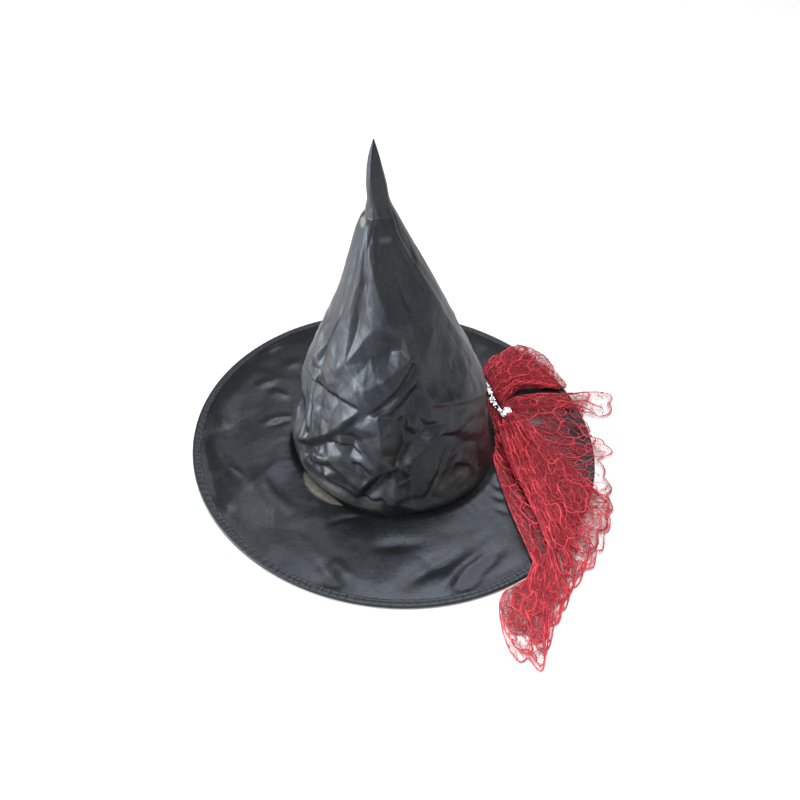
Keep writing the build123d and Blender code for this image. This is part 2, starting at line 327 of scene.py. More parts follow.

# The large creases of the crushed crown: lines of (azimuth in degrees, height and relief in
# millimetres).  The cloth is flat between them.  A fold is a lip and, just under it, a hollow.
# The places on the front were picked in the photo and carried onto the crown through the
# fitted camera; the reliefs, and the lines at the back, were chosen one by one.
CROWN_CREASES = (
    # the light three-cornered facet left of the front: its upper edge, left edge, lip and hollow
    ((-178, 88, -3), (-152, 97, -8), (-128, 103, -6), (-107, 106, 3)),
    ((-178, 91.5, 0), (-152, 100.5, -4), (-128, 106.5, -2.5), (-109, 109, 3.5)),
    ((-178, 88, -3), (-164, 66, -3), (-147, 43, 0)),
    ((-147, 43, 0), (-131, 67, 0), (-118, 91, 3), (-107, 106, 3)),
    ((-147, 43, 0), (-143, 38, -4), (-130, 60, -3.5), (-121, 76, 0.5)),
    ((-146, 78, -6.5), (-132, 88, -5)),
    ((-152, 97, -8), (-154, 112, -3)),
    ((-140, 34, 1.5), (-128, 44, 1.5), (-118, 56, 0)),
    # the back: two long folds that cross, and a dent low down
    ((30, 60, 2), (52, 88, 2.5), (76, 104, 2), (96, 138, 1)),
    ((34, 50, -1), (58, 77, -1.5), (84, 93, -1.5), (106, 130, -0.5)),
    ((130, 44, 1.5), (106, 62, 3), (84, 70, 2), (60, 62, 0)),
    ((130, 32, -1), (106, 48, -1.5), (84, 55, -1.5), (62, 46, -1)),
    ((20, 30, -3), (40, 24, -4), (58, 36, -1)),
    ((150, 96, 3), (136, 120, 3.5), (118, 130, 0)),
    # the strip at the left outline, the pucker under it and the bulge at the foot
    ((-190, 96, 1), (-182, 70, 1.5), (-172, 56, -3), (-160, 48, -4)),
    ((-186, 44, -1), (-176, 30, 4.5), (-160, 24, 4.5), (-150, 12, 2)),
    # the flap above it and its edge
    ((-184, 150, 1), (-172, 138, 2.5), (-163, 116, 3), (-166, 104, 0)),
    ((-166, 152, 0), (-157, 136, -1.5), (-154, 112, -3)),
    ((-140, 122, -0.5), (-127, 136, 1)),
    # the ridge down the middle of the front and the valley right of it
    ((-95, 106, 5), (-93, 92, 7.5), (-93, 74, 8), (-96, 57, 6.5), (-103, 42, 2)),
    ((-86, 104, 0), (-80, 92, -4.5), (-79, 77, -5.5), (-84, 64, -1)),
    ((-113, 88, -1), (-111, 74, -3.5), (-113, 58, -1)),
    # the fold across the lower front: lip and hollow, up to the pinch at its right end
    ((-108, 14, 1.5), (-104, 30, 4), (-98, 45, 6), (-87, 58, 6.5), (-77, 64, 6.5),
     (-66, 80, 6), (-57, 84, 3.5), (-46, 78, 0)),
    ((-104, 12, -0.5), (-101, 27, -4), (-94, 41, -6), (-85, 53, -7), (-75, 59, -7.5),
     (-64, 74, -8), (-56, 78, -6), (-46, 74, -2)),
    ((-92, 4, 1), (-86, 20, 5.5), (-85, 38, 2)),
    ((-76, 10, 1), (-77, 26, -2.5), (-76, 42, -4.5)),
    ((-70, 8, 1.5), (-62, 30, -0.5), (-52, 56, -1)),
    ((-52, 30, -0.5), (-40, 26, 2.5), (-33, 42, 1.5), (-38, 56, 0.5)),
    ((-46, 74, -2), (-37, 60, -1), (-26, 49, -0.5)),
    ((-43, 80, 0.5), (-34, 67, 1), (-22, 54, 1.5)),
    # between that fold and the ridge
    ((-77, 106, -1.5), (-75, 97, 2.5), (-71, 86, -0.5), (-78, 74, 0)),
    ((-70, 104, -1), (-66, 92, -2.5), (-62, 98, 2.5), (-57, 94, 0.5)),
    # the fold to the right: lip and hollow
    ((-66, 146, 4), (-63, 126, 2.5), (-59, 111, 3), (-45, 107, 2.5), (-29, 98, 2.5), (-4, 80, 3)),
    ((-61, 110, 1.5), (-57, 107, 1), (-44, 102, 1), (-29, 93, 1.2), (-4, 75, 2)),
    ((-57, 107, 1), (-50, 92, 2), (-44, 82, 0)),
    ((-30, 78, 0.5), (-16, 64, 1)),
    # the two folds that run up to the right from the middle of the front
    ((-107, 106, 3), (-97, 113, 3.5), (-84, 129, 4.5), (-71, 150, 5)),
    ((-105, 101, 2), (-95, 109, 0.5), (-82, 124, 0.5), (-68, 146, 1)),
    ((-95, 106, 5), (-88, 112, 4), (-78, 124, 3), (-66, 136, 3)),
    ((-86, 104, 0), (-79, 112, -2.5), (-69, 124, -3), (-62, 118, 1)),
    # the light triangle and the hollow above it
    ((-127, 136, 1), (-106, 147, -2.5), (-87, 155, -5), (-78, 158, -1)),
    ((-127, 136, 1), (-117, 128, 1.5), (-106, 125, 4), (-95, 132, 5), (-84, 142, 4.5)),
    ((-114, 160, 1), (-102, 173, 3.5), (-88, 179, 4), (-74, 172, 3)),
    ((-132, 162, 0.5), (-123, 167, -2), (-114, 172, 0.5)),
    # the crown above is smooth: a dark plane on the right and a long ridge at its edge
    ((-140, 198, 0.5), (-128, 200, -1), (-118, 198, 0.5)),
    ((-36, 168, -0.5), (-38, 148, -1), (-44, 126, -1.5), (-42, 114, 0)),
    ((14, 108, 1), (10, 140, 0.5), (8, 172, 0), (8, 204, -0.5)),
    ((34, 124, 0.5), (32, 160, 0), (30, 200, -0.5)),
)

# Smaller folds of the crown's cloth.  Each is a line of (azimuth, height) with the higher side on
# its left.  A fold's lip stands out over a hollow on its right: lip, hollow, reach of the lip,
# reach of the hollow.
CROWN_FOLDS = (
    (((-134, 56), (-124, 66), (-114, 70), (-104, 66)), 1.6, 1.8, 8, 10),
    (((-112, 52), (-105, 58), (-99, 50)), 1.0, 1.6, 6, 8),
    (((-132, 30), (-124, 22), (-112, 24), (-99, 18), (-93, 24), (-86, 12)), 1.0, 1.6, 5, 7),
    (((-138, 44), (-134, 32), (-126, 40)), 1.2, 1.4, 6, 7),
    (((-48, 48), (-38, 36), (-30, 12)), 1.2, 1.6, 8, 9),
    # the back
    (((100, 104), (122, 88), (150, 66)), 1.3, 1.5, 18, 18),
    (((120, 172), (142, 142), (164, 124)), 1.0, 1.2, 14, 16),
)

# Ridges and valleys with the same slope on both sides: line of (azimuth, height), relief (below 0,
# a valley), reach.
CROWN_RIDGES = (
    (((-66, 151), (-66, 141)), -1.4, 3),
    (((-79, 59), (-78, 40)), -2.6, 4.5),
    (((-48, 75), (-58, 46), (-72, 10)), -1.8, 2.2),
    (((-163, 92), (-158, 76), (-150, 52), (-152, 24)), -1.6, 2.4),
    (((-148, 168), (-155, 140), (-158, 114)), -2.0, 2.4),
    (((-50, 254), (-35, 230), (-21, 193), (-8, 149), (0, 122)), 1.5, 6),
    (((-122, 254), (-108, 226), (-93, 196), (-78, 164)), 3.4, 15),
    (((-72, 214), (-66, 184), (-64, 164)), 0.8, 2.2),
    (((-114, 246), (-112, 222), (-116, 198)), -1.0, 5),
    (((-108, 314), (-118, 292), (-122, 262)), 2.4, 5),
    (((-142, 232), (-146, 196), (-150, 166)), -1.6, 5),
    (((-128, 236), (-130, 205), (-136, 172)), 1.4, 5),
    (((-117, 214), (-119, 190), (-124, 168)), -1.6, 5),
)

# Painted khaki highlights, lines of (azimuth, height): reach in millimetres and how strongly they are
# painted.
CROWN_HIGHLIGHTS = (
    (((-154, 250), (-148, 249)), 5, 1.0),
    (((-84, 241), (-64, 242)), 3, 0.2),
    (((-152, 6), (-134, 8), (-118, 13)), 10, 0.17),
    (((-112, 10), (-96, 12)), 7, 0.13),
    (((-160, 44), (-156, 36)), 3, 0.55),
    (((-56, 28), (-34, 22)), 14, 0.2),
    (((-152, 118), (-142, 128)), 9, 0.08),
)


def crown_lines(heights):
    """Radius and lean of the crown at each height, with the outline's corners rounded off."""
    outline = np.array(CROWN_OUTLINE, dtype=float)
    fine = np.linspace(0, outline[-1, 0], 600)
    lines = [np.interp(fine, outline[:, 0], outline[:, column]) for column in (1, 2)]
    for _ in range(160):
        for line in lines:
            line[1:-1] = 0.25 * line[:-2] + 0.5 * line[1:-1] + 0.25 * line[2:]
    return [np.interp(heights, fine, line) for line in lines]


def fold_height(signed, along, lip, hollow, lip_reach, hollow_reach, drop=2.2):
    """Cross-section of a fold: a slope up to the lip, a steep drop and a slope back out."""
    above = lip * np.clip(1 - signed / lip_reach, 0, 1)
    below = -signed
    steep = lip - (lip + hollow) * smoothstep(below, 0, drop)
    back = -hollow * np.clip(1 - (below - drop) / hollow_reach, 0, 1)
    section = np.where(signed >= 0, above, np.where(below < drop, steep, back))
    return section * smoothstep(np.minimum(along, 1 - along), -0.02, 0.14)


def wrapped_folds(azimuth, height, radius, points, shape):
    """A fold's height all round the crown, on cloth unrolled about the fold's own middle."""
    middle = sum(point[0] for point in points) / len(points)
    if max(point[0] for point in points) - min(point[0] for point in points) > 180:
        points = [(point[0] - 360 if point[0] > 0 else point[0], point[1]) for point in points]
        middle = sum(point[0] for point in points) / len(points)
    level = sum(point[1] for point in points) / len(points)
    scale = np.interp(level, height[:, 0], radius[:, 0]) * math.pi / 180
    across = (azimuth - middle + 180) % 360 - 180
    flat = [((point[0] - middle) * scale, point[1]) for point in points]
    return shape(across * scale, height, flat)


# Azimuths in degrees: the front, and the middle of the tuck on its left.
FRONT = -90
TUCK_MIDDLE = -125
# Radii in millimetres at which the crown's cloth is unrolled: for its facets, and for its weave.
FACET_R = 80
CLOTH_R = 70


def crown_relief(azimuth, height, radius):
    """How far the crumpled cloth stands out from the crown's plain shape, in millimetres."""
    relief = np.zeros(azimuth.shape)
    for points, *sizes in CROWN_FOLDS:
        def fold(x, y, line, sizes=sizes):
            return fold_height(*polyline_distance(x, y, line), *sizes)
        relief += wrapped_folds(azimuth, height, radius, points, fold)
    for points, rise, reach in CROWN_RIDGES:
        def ridge(x, y, line, rise=rise, reach=reach):
            signed, along = polyline_distance(x, y, line)
            ends = smoothstep(np.minimum(along, 1 - along), -0.05, 0.2)
            return rise * np.clip(1 - abs(signed) / reach, 0, 1) * ends
        relief += wrapped_folds(azimuth, height, radius, points, ridge)
    scale = math.radians(FACET_R)
    around = azimuth * scale
    upper = smoothstep(height, 108, 180)
    # the sheet's two ends meet at the back: each crease is laid down on both sides of them
    creases = [
        tuple(((at + turn) * scale, level, rise) for at, level, rise in line)
        for turn in (0, -360)
        for line in CROWN_CREASES
    ]
    seam = smoothstep(abs(azimuth - FRONT), 168, 180)

    def matched(facets):
        return facets - seam * 0.5 * (facets - facets[:, ::-1])

    fade = smoothstep(height, 2, 16) * (1 - 0.85 * smoothstep(height, 160, 205))
    relief += 1.2 * fade * matched(crumple(around, height, 27, 2.6, 4, creases))
    for spacing, depth, seed in ((11, 0.55, 9), (5, 0.17, 12)):
        facets = matched(crumple(around, height, spacing, depth, seed))
        relief += facets * smoothstep(height, 2, 26) * (1 - 0.7 * upper)
    return relief


def relax(field, passes):
    """Rounds off the creases of a field over the crown, which closes on itself sideways."""
    for _ in range(passes):
        field = 0.5 * field + 0.25 * (np.roll(field, 1, 1) + np.roll(field, -1, 1))
        field[1:-1] = 0.5 * field[1:-1] + 0.25 * (field[:-2] + field[2:])
    return field


CROWN_ROWS, CROWN_COLUMNS = 236, 420
# The radius, in millimetres, that the sweatband and its lining need inside the crown's foot.
FOOT_ROOM_R = 91.2


def crown_surface(rows, columns, foot, top):
    """The crown's crumpled surface, row by row from its foot: azimuth, radius, lean and height."""
    around = np.linspace(FRONT - 180, FRONT + 180, columns, endpoint=False)
    height, azimuth = np.meshgrid(np.linspace(foot, top, rows), around, indexing="ij")
    radius, lean = crown_lines(height)
    relief = crown_relief(azimuth, height, radius)
    relief = 0.5 * (relief + relax(relief, 1))
    relief *= smoothstep(height, 0, 10) * np.clip(radius / 12, 0.05, 1)
    relief = np.maximum(relief, -0.18 * radius)
    # the cloth bulges a little over the seam at its foot and turns in under it
    relief += 1.8 * smoothstep(height, 3, 7) * (1 - smoothstep(height, 7, 18))
    # the tuck draws the cloth in on the left of the front
    near_tuck = np.exp(-(((height - TUCK_Z / MM - 3) / 3.2) ** 2))
    relief -= 1.3 * near_tuck * smoothstep(np.cos(np.radians(azimuth - TUCK_MIDDLE)), -0.2, 0.6)
    slope = np.gradient(radius[:, 0], height[:, 0])[:, None]
    flat = 1 / np.sqrt(1 + slope**2)
    out = radius + relief * flat
    out = np.maximum(out, FOOT_ROOM_R * (1 - smoothstep(height, 15, 26)))
    return azimuth, out, lean, height - relief * slope * flat * 0.8


def crown_highlights(azimuth, height, radius):
    """Where the crown's cloth is painted a pale khaki highlight: 0 is its own black, 1 is the full
    khaki.
    """
    paleness = np.zeros(azimuth.shape)
    for points, reach, share in CROWN_HIGHLIGHTS:
        def highlight_stroke(x, y, line, reach=reach, share=share):
            return share * (1 - smoothstep(abs(polyline_distance(x, y, line)[0]), 0.4 * reach, reach))
        paleness = np.maximum(paleness, wrapped_folds(azimuth, height, radius, points, highlight_stroke))
    return paleness


def crown_mesh(name, azimuth, out, lean, height, material):
    """Mesh of a surface given as grids round the crown, with cloth coordinates unrolled from it."""
    turn = np.radians(azimuth)
    points = np.stack([lean + out * np.cos(turn), out * np.sin(turn), height], -1).reshape(-1, 3) * MM
    cloth = np.stack([turn * CLOTH_R, height], -1).reshape(-1, 2) * MM
    return make_mesh(name, points, grid_faces(*out.shape, True), material, cloth)


def make_crown(cloth_material, lining_material):
    foot = BRIM_UNDER / MM
    azimuth, out, lean, height = crown_surface(CROWN_ROWS, CROWN_COLUMNS, foot, HAT_TOP / MM)
    crown = crown_mesh("crown_cloth", azimuth, out, lean, height, cloth_material)
    hinge = JOINTS["tip_bend"]["pos_m"]
    below, above = (hinge[0], 0, hinge[2] - 7 * MM), (hinge[0], 0, hinge[2] + 9 * MM)
    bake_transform(crown)
    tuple(below)
    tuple(above)
    mark_paleness(crown, crown_highlights(azimuth, height, out))
    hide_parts("crown_cover", "crown_tip")

    # the lining follows the innermost places of the cloth around each of its points
    inner = out
    for axis in (0, 1, 0, 1, 0, 1):
        inner = np.minimum(inner, np.minimum(np.roll(inner, 1, axis), np.roll(inner, -1, axis)))
    shown = height[:, 0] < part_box("crown_interlining")[1][2] / MM
    azimuth, inner, lean, height = (grid[shown][::3, ::2] for grid in (azimuth, inner, lean, height))
    inner = relax(inner, 2) - 1.1
    lining = crown_mesh("crown_lining", azimuth, inner, lean, height + 0.4, lining_material)
    stand_for(lining, "interlining", "crown_interlining")
    return crown


# ---- brim --------------------------------------------------------------------------------
# Soft hollows and ridges in the brim's upper cover: line of (x, y) in millimetres, height (below
# 0, a hollow), reach.  Those in front and on the left were picked as the crown's were.
BRIM_FOLDS = (
    # the front: soft hollows, and a thin crease by the crown
    (((-14, -133), (8, -127), (36, -122)), -1.3, 6),
    (((10, -176), (39, -149), (66, -126)), -2.0, 7),
    (((104, -50), (114, -80), (122, -108), (128, -135)), -2.2, 7),
    (((58, -172), (76, -146), (102, -117)), -2.4, 7),
    (((46, -172), (62, -146), (84, -122)), 1.2, 5),
    (((-56, -114), (-41, -104), (-9, -95)), -1.1, 2.6),
    (((-58, -150), (-43, -165), (-34, -178)), -1.6, 6),
    (((-46, -148), (-30, -170)), 1.4, 6),
    (((92, -48), (104, -53)), -1.0, 2.5),
    (((92, -62), (105, -65)), -1.0, 2.5),
    (((94, -74), (108, -82)), -0.8, 3),
    # the left: streaks of light on ridges that run in from the edge
    (((-178, -16), (-161, -42), (-136, -68), (-126, -82)), 2.0, 7),
    (((-124, -58), (-107, -84), (-84, -103)), 1.7, 8),
    (((-168, -51), (-136, -62)), 1.2, 4),
    (((-160, -92), (-136, -105)), 1.5, 5),
    (((-170, 8), (-158, -6)), 1.2, 5),
    (((-142, 54), (-124, 65)), 1.5, 4),
    (((-128, 50), (-108, 43)), 1.5, 4),
    (((-130, 3), (-117, 11), (-98, 19)), 1.5, 3.4),
    (((-120, 1), (-106, 11)), -1.4, 3),
    (((-143, 107), (-126, 122)), 1.4, 4),
    (((-120, 86), (-104, 96)), 1.0, 5),
    # the back and the right
    (((-20, 120), (30, 150)), -1.6, 9),
    (((44, 172), (74, 128)), 1.6, 7),
    (((10, 104), (24, 130), (20, 164)), 1.5, 6),
    (((100, 60), (130, 84), (150, 92)), -1.6, 8),
    (((104, 30), (150, 44)), 1.4, 6),
    (((-60, 124), (-48, 160)), -1.4, 7),
)

# Where the brim's cloth is painted a pale khaki highlight beside the crown.
BRIM_HIGHLIGHT = ((-80, -52), (-73, -65), (-63, -76), (-50, -85), (-43, -88))


def brim_relief(x, y):
    """How far the brim's cloth stands up from its flat place, in millimetres."""
    radius = np.hypot(x, y)
    relief = np.zeros(x.shape)
    for line, rise, reach in BRIM_FOLDS:
        signed, along = polyline_distance(x, y, line)
        ends = smoothstep(np.minimum(along, 1 - along), -0.1, 0.35)
        relief += rise * np.exp(-((signed / reach) ** 2)) * ends
    relief += crumple(x, y, 34, 0.7, 21) + crumple(x, y, 12, 0.16, 22)
    # small pleats where the seam at the crown's foot takes up the cloth
    azimuth = np.arctan2(y, x)
    pleats = np.sin(azimuth * 61 + 2.2 * np.sin(azimuth * 7)) + 0.7 * np.sin(azimuth * 37 + 1.3)
    relief += 0.28 * pleats * np.exp(-((radius - CROWN_R / MM) / 9))
    inner = smoothstep(radius, CROWN_R / MM, CROWN_R / MM + 8)
    outer = 1 - smoothstep(radius, LAYER_R / MM - 12, LAYER_R / MM - 3)
    return relief * inner * outer


def brim_height(x, y):
    """Height of the brim's upper cloth in millimetres, before its small wrinkles."""
    radius = np.hypot(x, y)
    rise = smoothstep(radius, CROWN_R / MM + 1.5, CROWN_R / MM + 9)
    fall = 1 - smoothstep(radius, 165, LAYER_R / MM - 2)
    return BRIM_TOP / MM + 0.3 + 1.5 * (rise * fall)


BRIM_ROWS, BRIM_COLUMNS = 66, 560


def make_brim(cloth_material, under_material):
    rows, columns = BRIM_ROWS, BRIM_COLUMNS
    radius, turn = np.meshgrid(
        np.linspace(CROWN_R / MM + 0.1, LAYER_R / MM, rows),
        np.linspace(-math.pi, math.pi, columns, endpoint=False),
        indexing="ij",
    )
    x, y = radius * np.cos(turn), radius * np.sin(turn)
    relief = brim_relief(x, y)
    for _ in range(2):
        relief[1:-1] = 0.5 * relief[1:-1] + 0.25 * (relief[:-2] + relief[2:])
        relief = 0.5 * relief + 0.25 * (np.roll(relief, 1, 1) + np.roll(relief, -1, 1))
    upper = np.maximum(brim_height(x, y) + relief, BRIM_TOP / MM - 0.3)
    lower = BRIM_UNDER / MM + 0.2 - np.clip(0.35 * relief, -0.2, 0.2)
    # both covers dip to the seam at the crown's foot
    upper -= 0.4 * np.exp(-((radius - CROWN_R / MM) / 2.4))
    for name, height, node, material, slot in (
        ("brim_upper_cloth", upper, "brim_top_cover", cloth_material, "taffeta"),
        ("brim_lower_cloth", lower, "brim_under_cover", under_material, "taffeta_under"),
    ):
        points = np.stack([x, y, height], -1).reshape(-1, 3) * MM
        faces = grid_faces(rows, columns, True)
        if height is upper:
            faces = faces[:, ::-1]
        sheet = make_mesh(name, points, faces, material, np.stack([x, y], -1).reshape(-1, 2) * MM)
        if height is upper:
            # the painted khaki highlight on the brim: pale along that line, narrower towards its ends
            highlight_field, along = polyline_distance(x, y, BRIM_HIGHLIGHT)
            narrow = np.clip(np.sin(np.clip(along, 0.01, 0.99) * math.pi), 0.05, 1) ** 0.6
            mark_paleness(sheet, 0.95 * (1 - smoothstep(abs(highlight_field) / narrow, 3.5, 8.0)))
        stand_for(sheet, slot, node)


def ring_sweep(name, section, columns, wobble, material):
    """Closed ring about Z from a section of (radius, height) points, moved with the angle by wobble."""
    section = np.array(section)
    turn = np.linspace(-math.pi, math.pi, columns, endpoint=False)
    radius = section[:, 0][:, None] + 0 * turn
    height = section[:, 1][:, None] + 0 * turn
    radius, height = wobble(radius, height, turn, np.linspace(0, 1, len(section))[:, None])
    points = np.stack([radius * np.cos(turn), radius * np.sin(turn), height], -1).reshape(-1, 3) * MM
    run = np.concatenate([[0], np.cumsum(np.hypot(*np.diff(section, axis=0).T))])
    uvs = np.stack([radius * turn, run[:, None] + 0 * turn], -1).reshape(-1, 2) * MM
    return make_mesh(name, points, grid_faces(len(section), columns, True), material, uvs)


BINDING_COLUMNS = 1400


def make_binding(material):
    """Folded tape round the brim's edge, rolled over the hoop and puckered by its stitches."""
    low, high = 0.15, BINDING_TOP / MM + 0.35
    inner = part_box("edge_binding")[1][0] / MM - 7.2
    outer = BRIM_R / MM
    middle = (low + high) / 2
    section = [(inner, low), (inner + 2.5, low), (outer - 2.4, low)]
    for step in range(11):
        angle = -math.pi / 2 + math.pi * step / 10
        height = middle + (high - low) / 2 * math.sin(angle)
        section.append((outer - 2.1 + 2.1 * math.cos(angle), height))
    section += [(inner + 4.6, high + 0.10), (inner + 3.2, high + 0.05), (inner + 2.1, high - 0.25)]
    section += [(inner + 1.5, high - 0.05), (inner + 0.7, high), (inner, high - 0.15)]
    section += [(inner - 0.1, high - 0.8)]

    def wobble(radius, height, turn, along):
        soft = 0.22 * np.sin(turn * 11 + 1.0) + 0.16 * np.sin(turn * 23) + 0.10 * np.sin(turn * 47 + 2)
        pucker = 0.12 * np.sin(turn * 190 + 3 * np.sin(turn * 13)) + 0.08 * np.sin(turn * 331)
        edge = smoothstep(along, 0.62, 1.0)
        top = smoothstep(along, 0.3, 0.7)
        radius = radius + soft * 0.5 * edge + pucker * 0.5 * edge
        return radius, height + pucker * top + soft * 0.3 * top

    binding = ring_sweep("binding_tape", section, BINDING_COLUMNS, wobble, material)
    stand_for(binding, "binding", "edge_binding")


def capsule(length, radius, sides=6):
    """Points and faces of a small rounded stitch along X, low enough in count to repeat."""
    rings = [(-0.5, 0.35), (-0.36, 0.9), (0, 1.0), (0.36, 0.9), (0.5, 0.35)]
    points = []
    for along, swell in rings:
        for side in range(sides):
            angle = 2 * math.pi * side / sides
            y, z = swell * radius * math.cos(angle), swell * radius * math.sin(angle)
            points.append((along * length, y, z))
    faces = [tuple(face) for face in grid_faces(len(rings), sides, False)]
    for start in range(0, (len(rings) - 1) * sides, sides):
        faces.append((start + sides - 1, start, start + sides, start + 2 * sides - 1))
    faces.append(tuple(reversed(range(sides))))
    faces.append(tuple(range((len(rings) - 1) * sides, len(rings) * sides)))
    return np.array(points), faces


def make_stitches(name, places, material, slot, node):
    """One object of small stitches; places are (centre, direction, length, radius) in millimetres."""
    points, faces = [], []
    for centre, direction, length, radius in places:
        shape, shape_faces = capsule(length, radius)
        ahead = Vector(direction).normalized()
        side = ahead.cross(Vector((0, 0, 1)))
        side = side.normalized() if side.length > 1e-3 else Vector((1, 0, 0))
        up = side.cross(ahead)
        start = len(points)
        for x, y, z in shape:
            points.append((Vector(centre) + ahead * x + side * y + up * z) * MM)
        faces += [tuple(start + corner for corner in face) for face in shape_faces]
    stitches = make_mesh(name, points, faces, material)
    stand_for(stitches, slot, node)


def ring_stitches(radius, height, pitch, length, thread, seed, lean=0.06):
    """Places for a row of machine stitches in a ring."""
    rng = random.Random(seed)
    count = int(2 * math.pi * radius / pitch)
    for number in range(count):
        turn = 2 * math.pi * number / count
        r = radius + rng.gauss(0, 0.12)
        centre = (r * math.cos(turn), r * math.sin(turn), height + rng.gauss(0, 0.03))
        direction = turn + math.pi / 2 + lean + rng.gauss(0, 0.05)
        yield centre, (math.cos(direction), math.sin(direction), 0), length, thread


# ---- lace --------------------------------------------------------------------------------
# The lace lies in folds that fan out from the gather on the right of the crown.  Each rib is a
# line of the cloth from the gather to its hem, in millimetres; neighbouring ribs that turn back
# over each other make the cloth lie in layers.  The lace's outline was picked in the photo
# and carried down through the fitted camera; the heights and the hidden ribs are given one by one.
LOBE_RIBS = (
    ((80, 84, 15), (81, 92, 12), (82, 101, 9), (84, 106, 6)),
    ((82, 80, 21), (89, 100, 19), (94, 117, 14), (96, 125, 9), (94, 120, 5)),
    ((84, 76, 24), (101, 108, 23), (111, 130, 17), (115, 141, 11), (111, 134, 5), (103, 114, 5)),
    ((86, 70, 26), (109, 105, 24), (126, 128, 18), (132, 140, 11), (128, 133, 5), (114, 110, 5)),
    ((88, 64, 27), (117, 98, 23), (139, 118, 18), (149, 127, 11), (144, 120, 5), (124, 100, 5)),
    ((90, 57, 27), (119, 88, 21), (147, 103, 16), (160, 107, 10), (154, 101, 5), (132, 92, 5)),
    ((93, 49, 27), (110, 76, 20), (138, 86, 15), (166, 89, 9), (162, 89, 5), (138, 90, 5)),
    ((97, 40, 26), (108, 66, 20), (124, 81, 14), (146, 85, 9), (164, 87, 6)),
    ((99, 37, 20), (108, 62, 12), (122, 81, 7), (142, 87, 6), (158, 90, 6)),
    ((95, 46, 15), (112, 78, 11), (134, 94, 10), (158, 103, 8)),
    ((90, 60, 14), (110, 92, 13), (128, 112, 12), (145, 124, 9)),
    ((86, 72, 14), (100, 100, 14), (114, 122, 13), (126, 137, 9)),
    ((84, 76, 14), (92, 98, 13), (102, 118, 12), (111, 137, 8)),
    ((88, 68, 12), (104, 96, 10), (118, 116, 9), (134, 133, 7)),
    ((94, 54, 12), (114, 84, 9), (134, 100, 8), (157, 110, 7)),
)
VEIL_RIBS = (
    # the rolled band and the wing that it ends in
    ((99, 40, 17), (114, 64, 8), (140, 75, 7), (166, 79, 6), (190, 87, 5), (204, 91, 3)),
    ((99, 40, 22), (116, 62, 14), (142, 71, 12), (168, 78, 9), (194, 87, 6), (212, 88, 4)),
    ((100, 37, 22), (116, 58, 14), (140, 63, 12), (164, 69, 9), (196, 73, 7), (216, 73, 4)),
    ((101, 34, 18), (114, 49, 7), (136, 54, 6), (160, 61, 6), (184, 57, 5), (203, 54, 3)),
    ((99, 38, 11), (114, 56, 6), (138, 61, 6), (158, 67, 5), (180, 67, 4)),
    # one layer over the right of the brim, with a small wing
    ((101, 34, 13), (118, 44, 6), (142, 48, 5), (166, 50, 5), (187, 44, 4)),
    ((103, 30, 14), (124, 34, 6), (150, 33, 5), (174, 32, 5), (189, 27, 4)),
    ((104, 27, 14), (126, 22, 6), (152, 18, 5), (176, 14, 5), (199, 21, 4)),
    ((105, 25, 14), (128, 13, 6), (154, 6, 5), (178, 3, 5), (209, 9, 3)),
    ((105, 23, 14), (130, 4, 6), (156, -8, 5), (178, -10, 5), (197, -7, 3)),
    ((104, 20, 12), (126, -2, 6), (150, -22, 5), (174, -30, 5), (203, -32, 2)),
    ((102, 15, 9), (116, -12, 5), (138, -40, 5), (162, -56, 5), (184, -62, 4), (200, -72, 2)),
    # folded under the main fall and back
    ((101, 20, 10), (112, -2, 5), (134, -34, 5), (156, -66, 5), (176, -94, 5), (185, -104, 2)),
    ((99, 22, 11), (108, -10, 6), (126, -48, 6), (144, -86, 6), (157, -116, 5), (162, -132, 3),
     (160, -152, 1)),
    ((98, 24, 12), (106, -6, 7), (122, -44, 7), (138, -82, 7), (150, -116, 6), (154, -140, 4),
     (150, -174, 1)),
    ((101, 26, 14), (112, -2, 9), (132, -34, 8), (154, -66, 7), (174, -94, 5), (184, -108, 2)),
    # the main fall, turned back over those layers along a ridge
    ((106, 31, 22), (127, 20, 16), (146, -2, 14), (162, -18, 12), (180, -43, 9), (194, -58, 7),
     (201, -66, 2)),
    ((105, 28, 26), (122, 10, 19), (140, -18, 15), (160, -46, 12), (178, -74, 8), (188, -90, 6),
     (192, -101, 2)),
    ((103, 25, 27), (115, 2, 19), (131, -32, 15), (149, -68, 12), (166, -102, 8), (176, -118, 5),
     (181, -126, 1)),
    ((100, 23, 27), (108, -4, 18), (121, -40, 14), (136, -80, 11), (149, -114, 8), (157, -140, 4),
     (159, -159, 1)),
    ((97, 26, 27), (103, -4, 18), (114, -42, 13), (127, -79, 10), (138, -112, 7), (145, -146, 4),
     (147, -188, 1)),
    ((95, 29, 26), (99, -2, 17), (110, -36, 13), (123, -64, 11), (136, -90, 9), (141, -128, 6),
     (139, -164, 2), (138, -197, 1)),
    ((94, 33, 20), (101, -2, 8), (113, -34, 5), (127, -60, 5), (139, -88, 5), (140, -118, 5),
     (134, -150, 3), (132, -190, 2), (131, -234, 1)),
    # the sheer strip on its left, and the tail that spreads beyond the brim
    ((91, 40, 22), (93, 8, 14), (100, -20, 8), (111, -48, 7), (124, -76, 6), (132, -104, 6),
     (131, -138, 4), (128, -158, 2), (119, -190, 2), (121, -231, 1)),
    ((88, 47, 20), (90, 14, 14), (94, -12, 9), (102, -40, 6), (112, -70, 6), (122, -98, 6),
     (128, -128, 5), (124, -154, 2), (110, -180, 1), (110, -206, 1), (114, -230, 1)),
    ((86, 54, 19), (88, 20, 14), (91, -10, 9), (97, -38, 6), (106, -72, 5), (115, -100, 5),
     (123, -124, 5), (126, -143, 5), (114, -157, 2), (101, -165, 1), (97, -180, 1), (100, -205, 1),
     (107, -226, 1)),
)
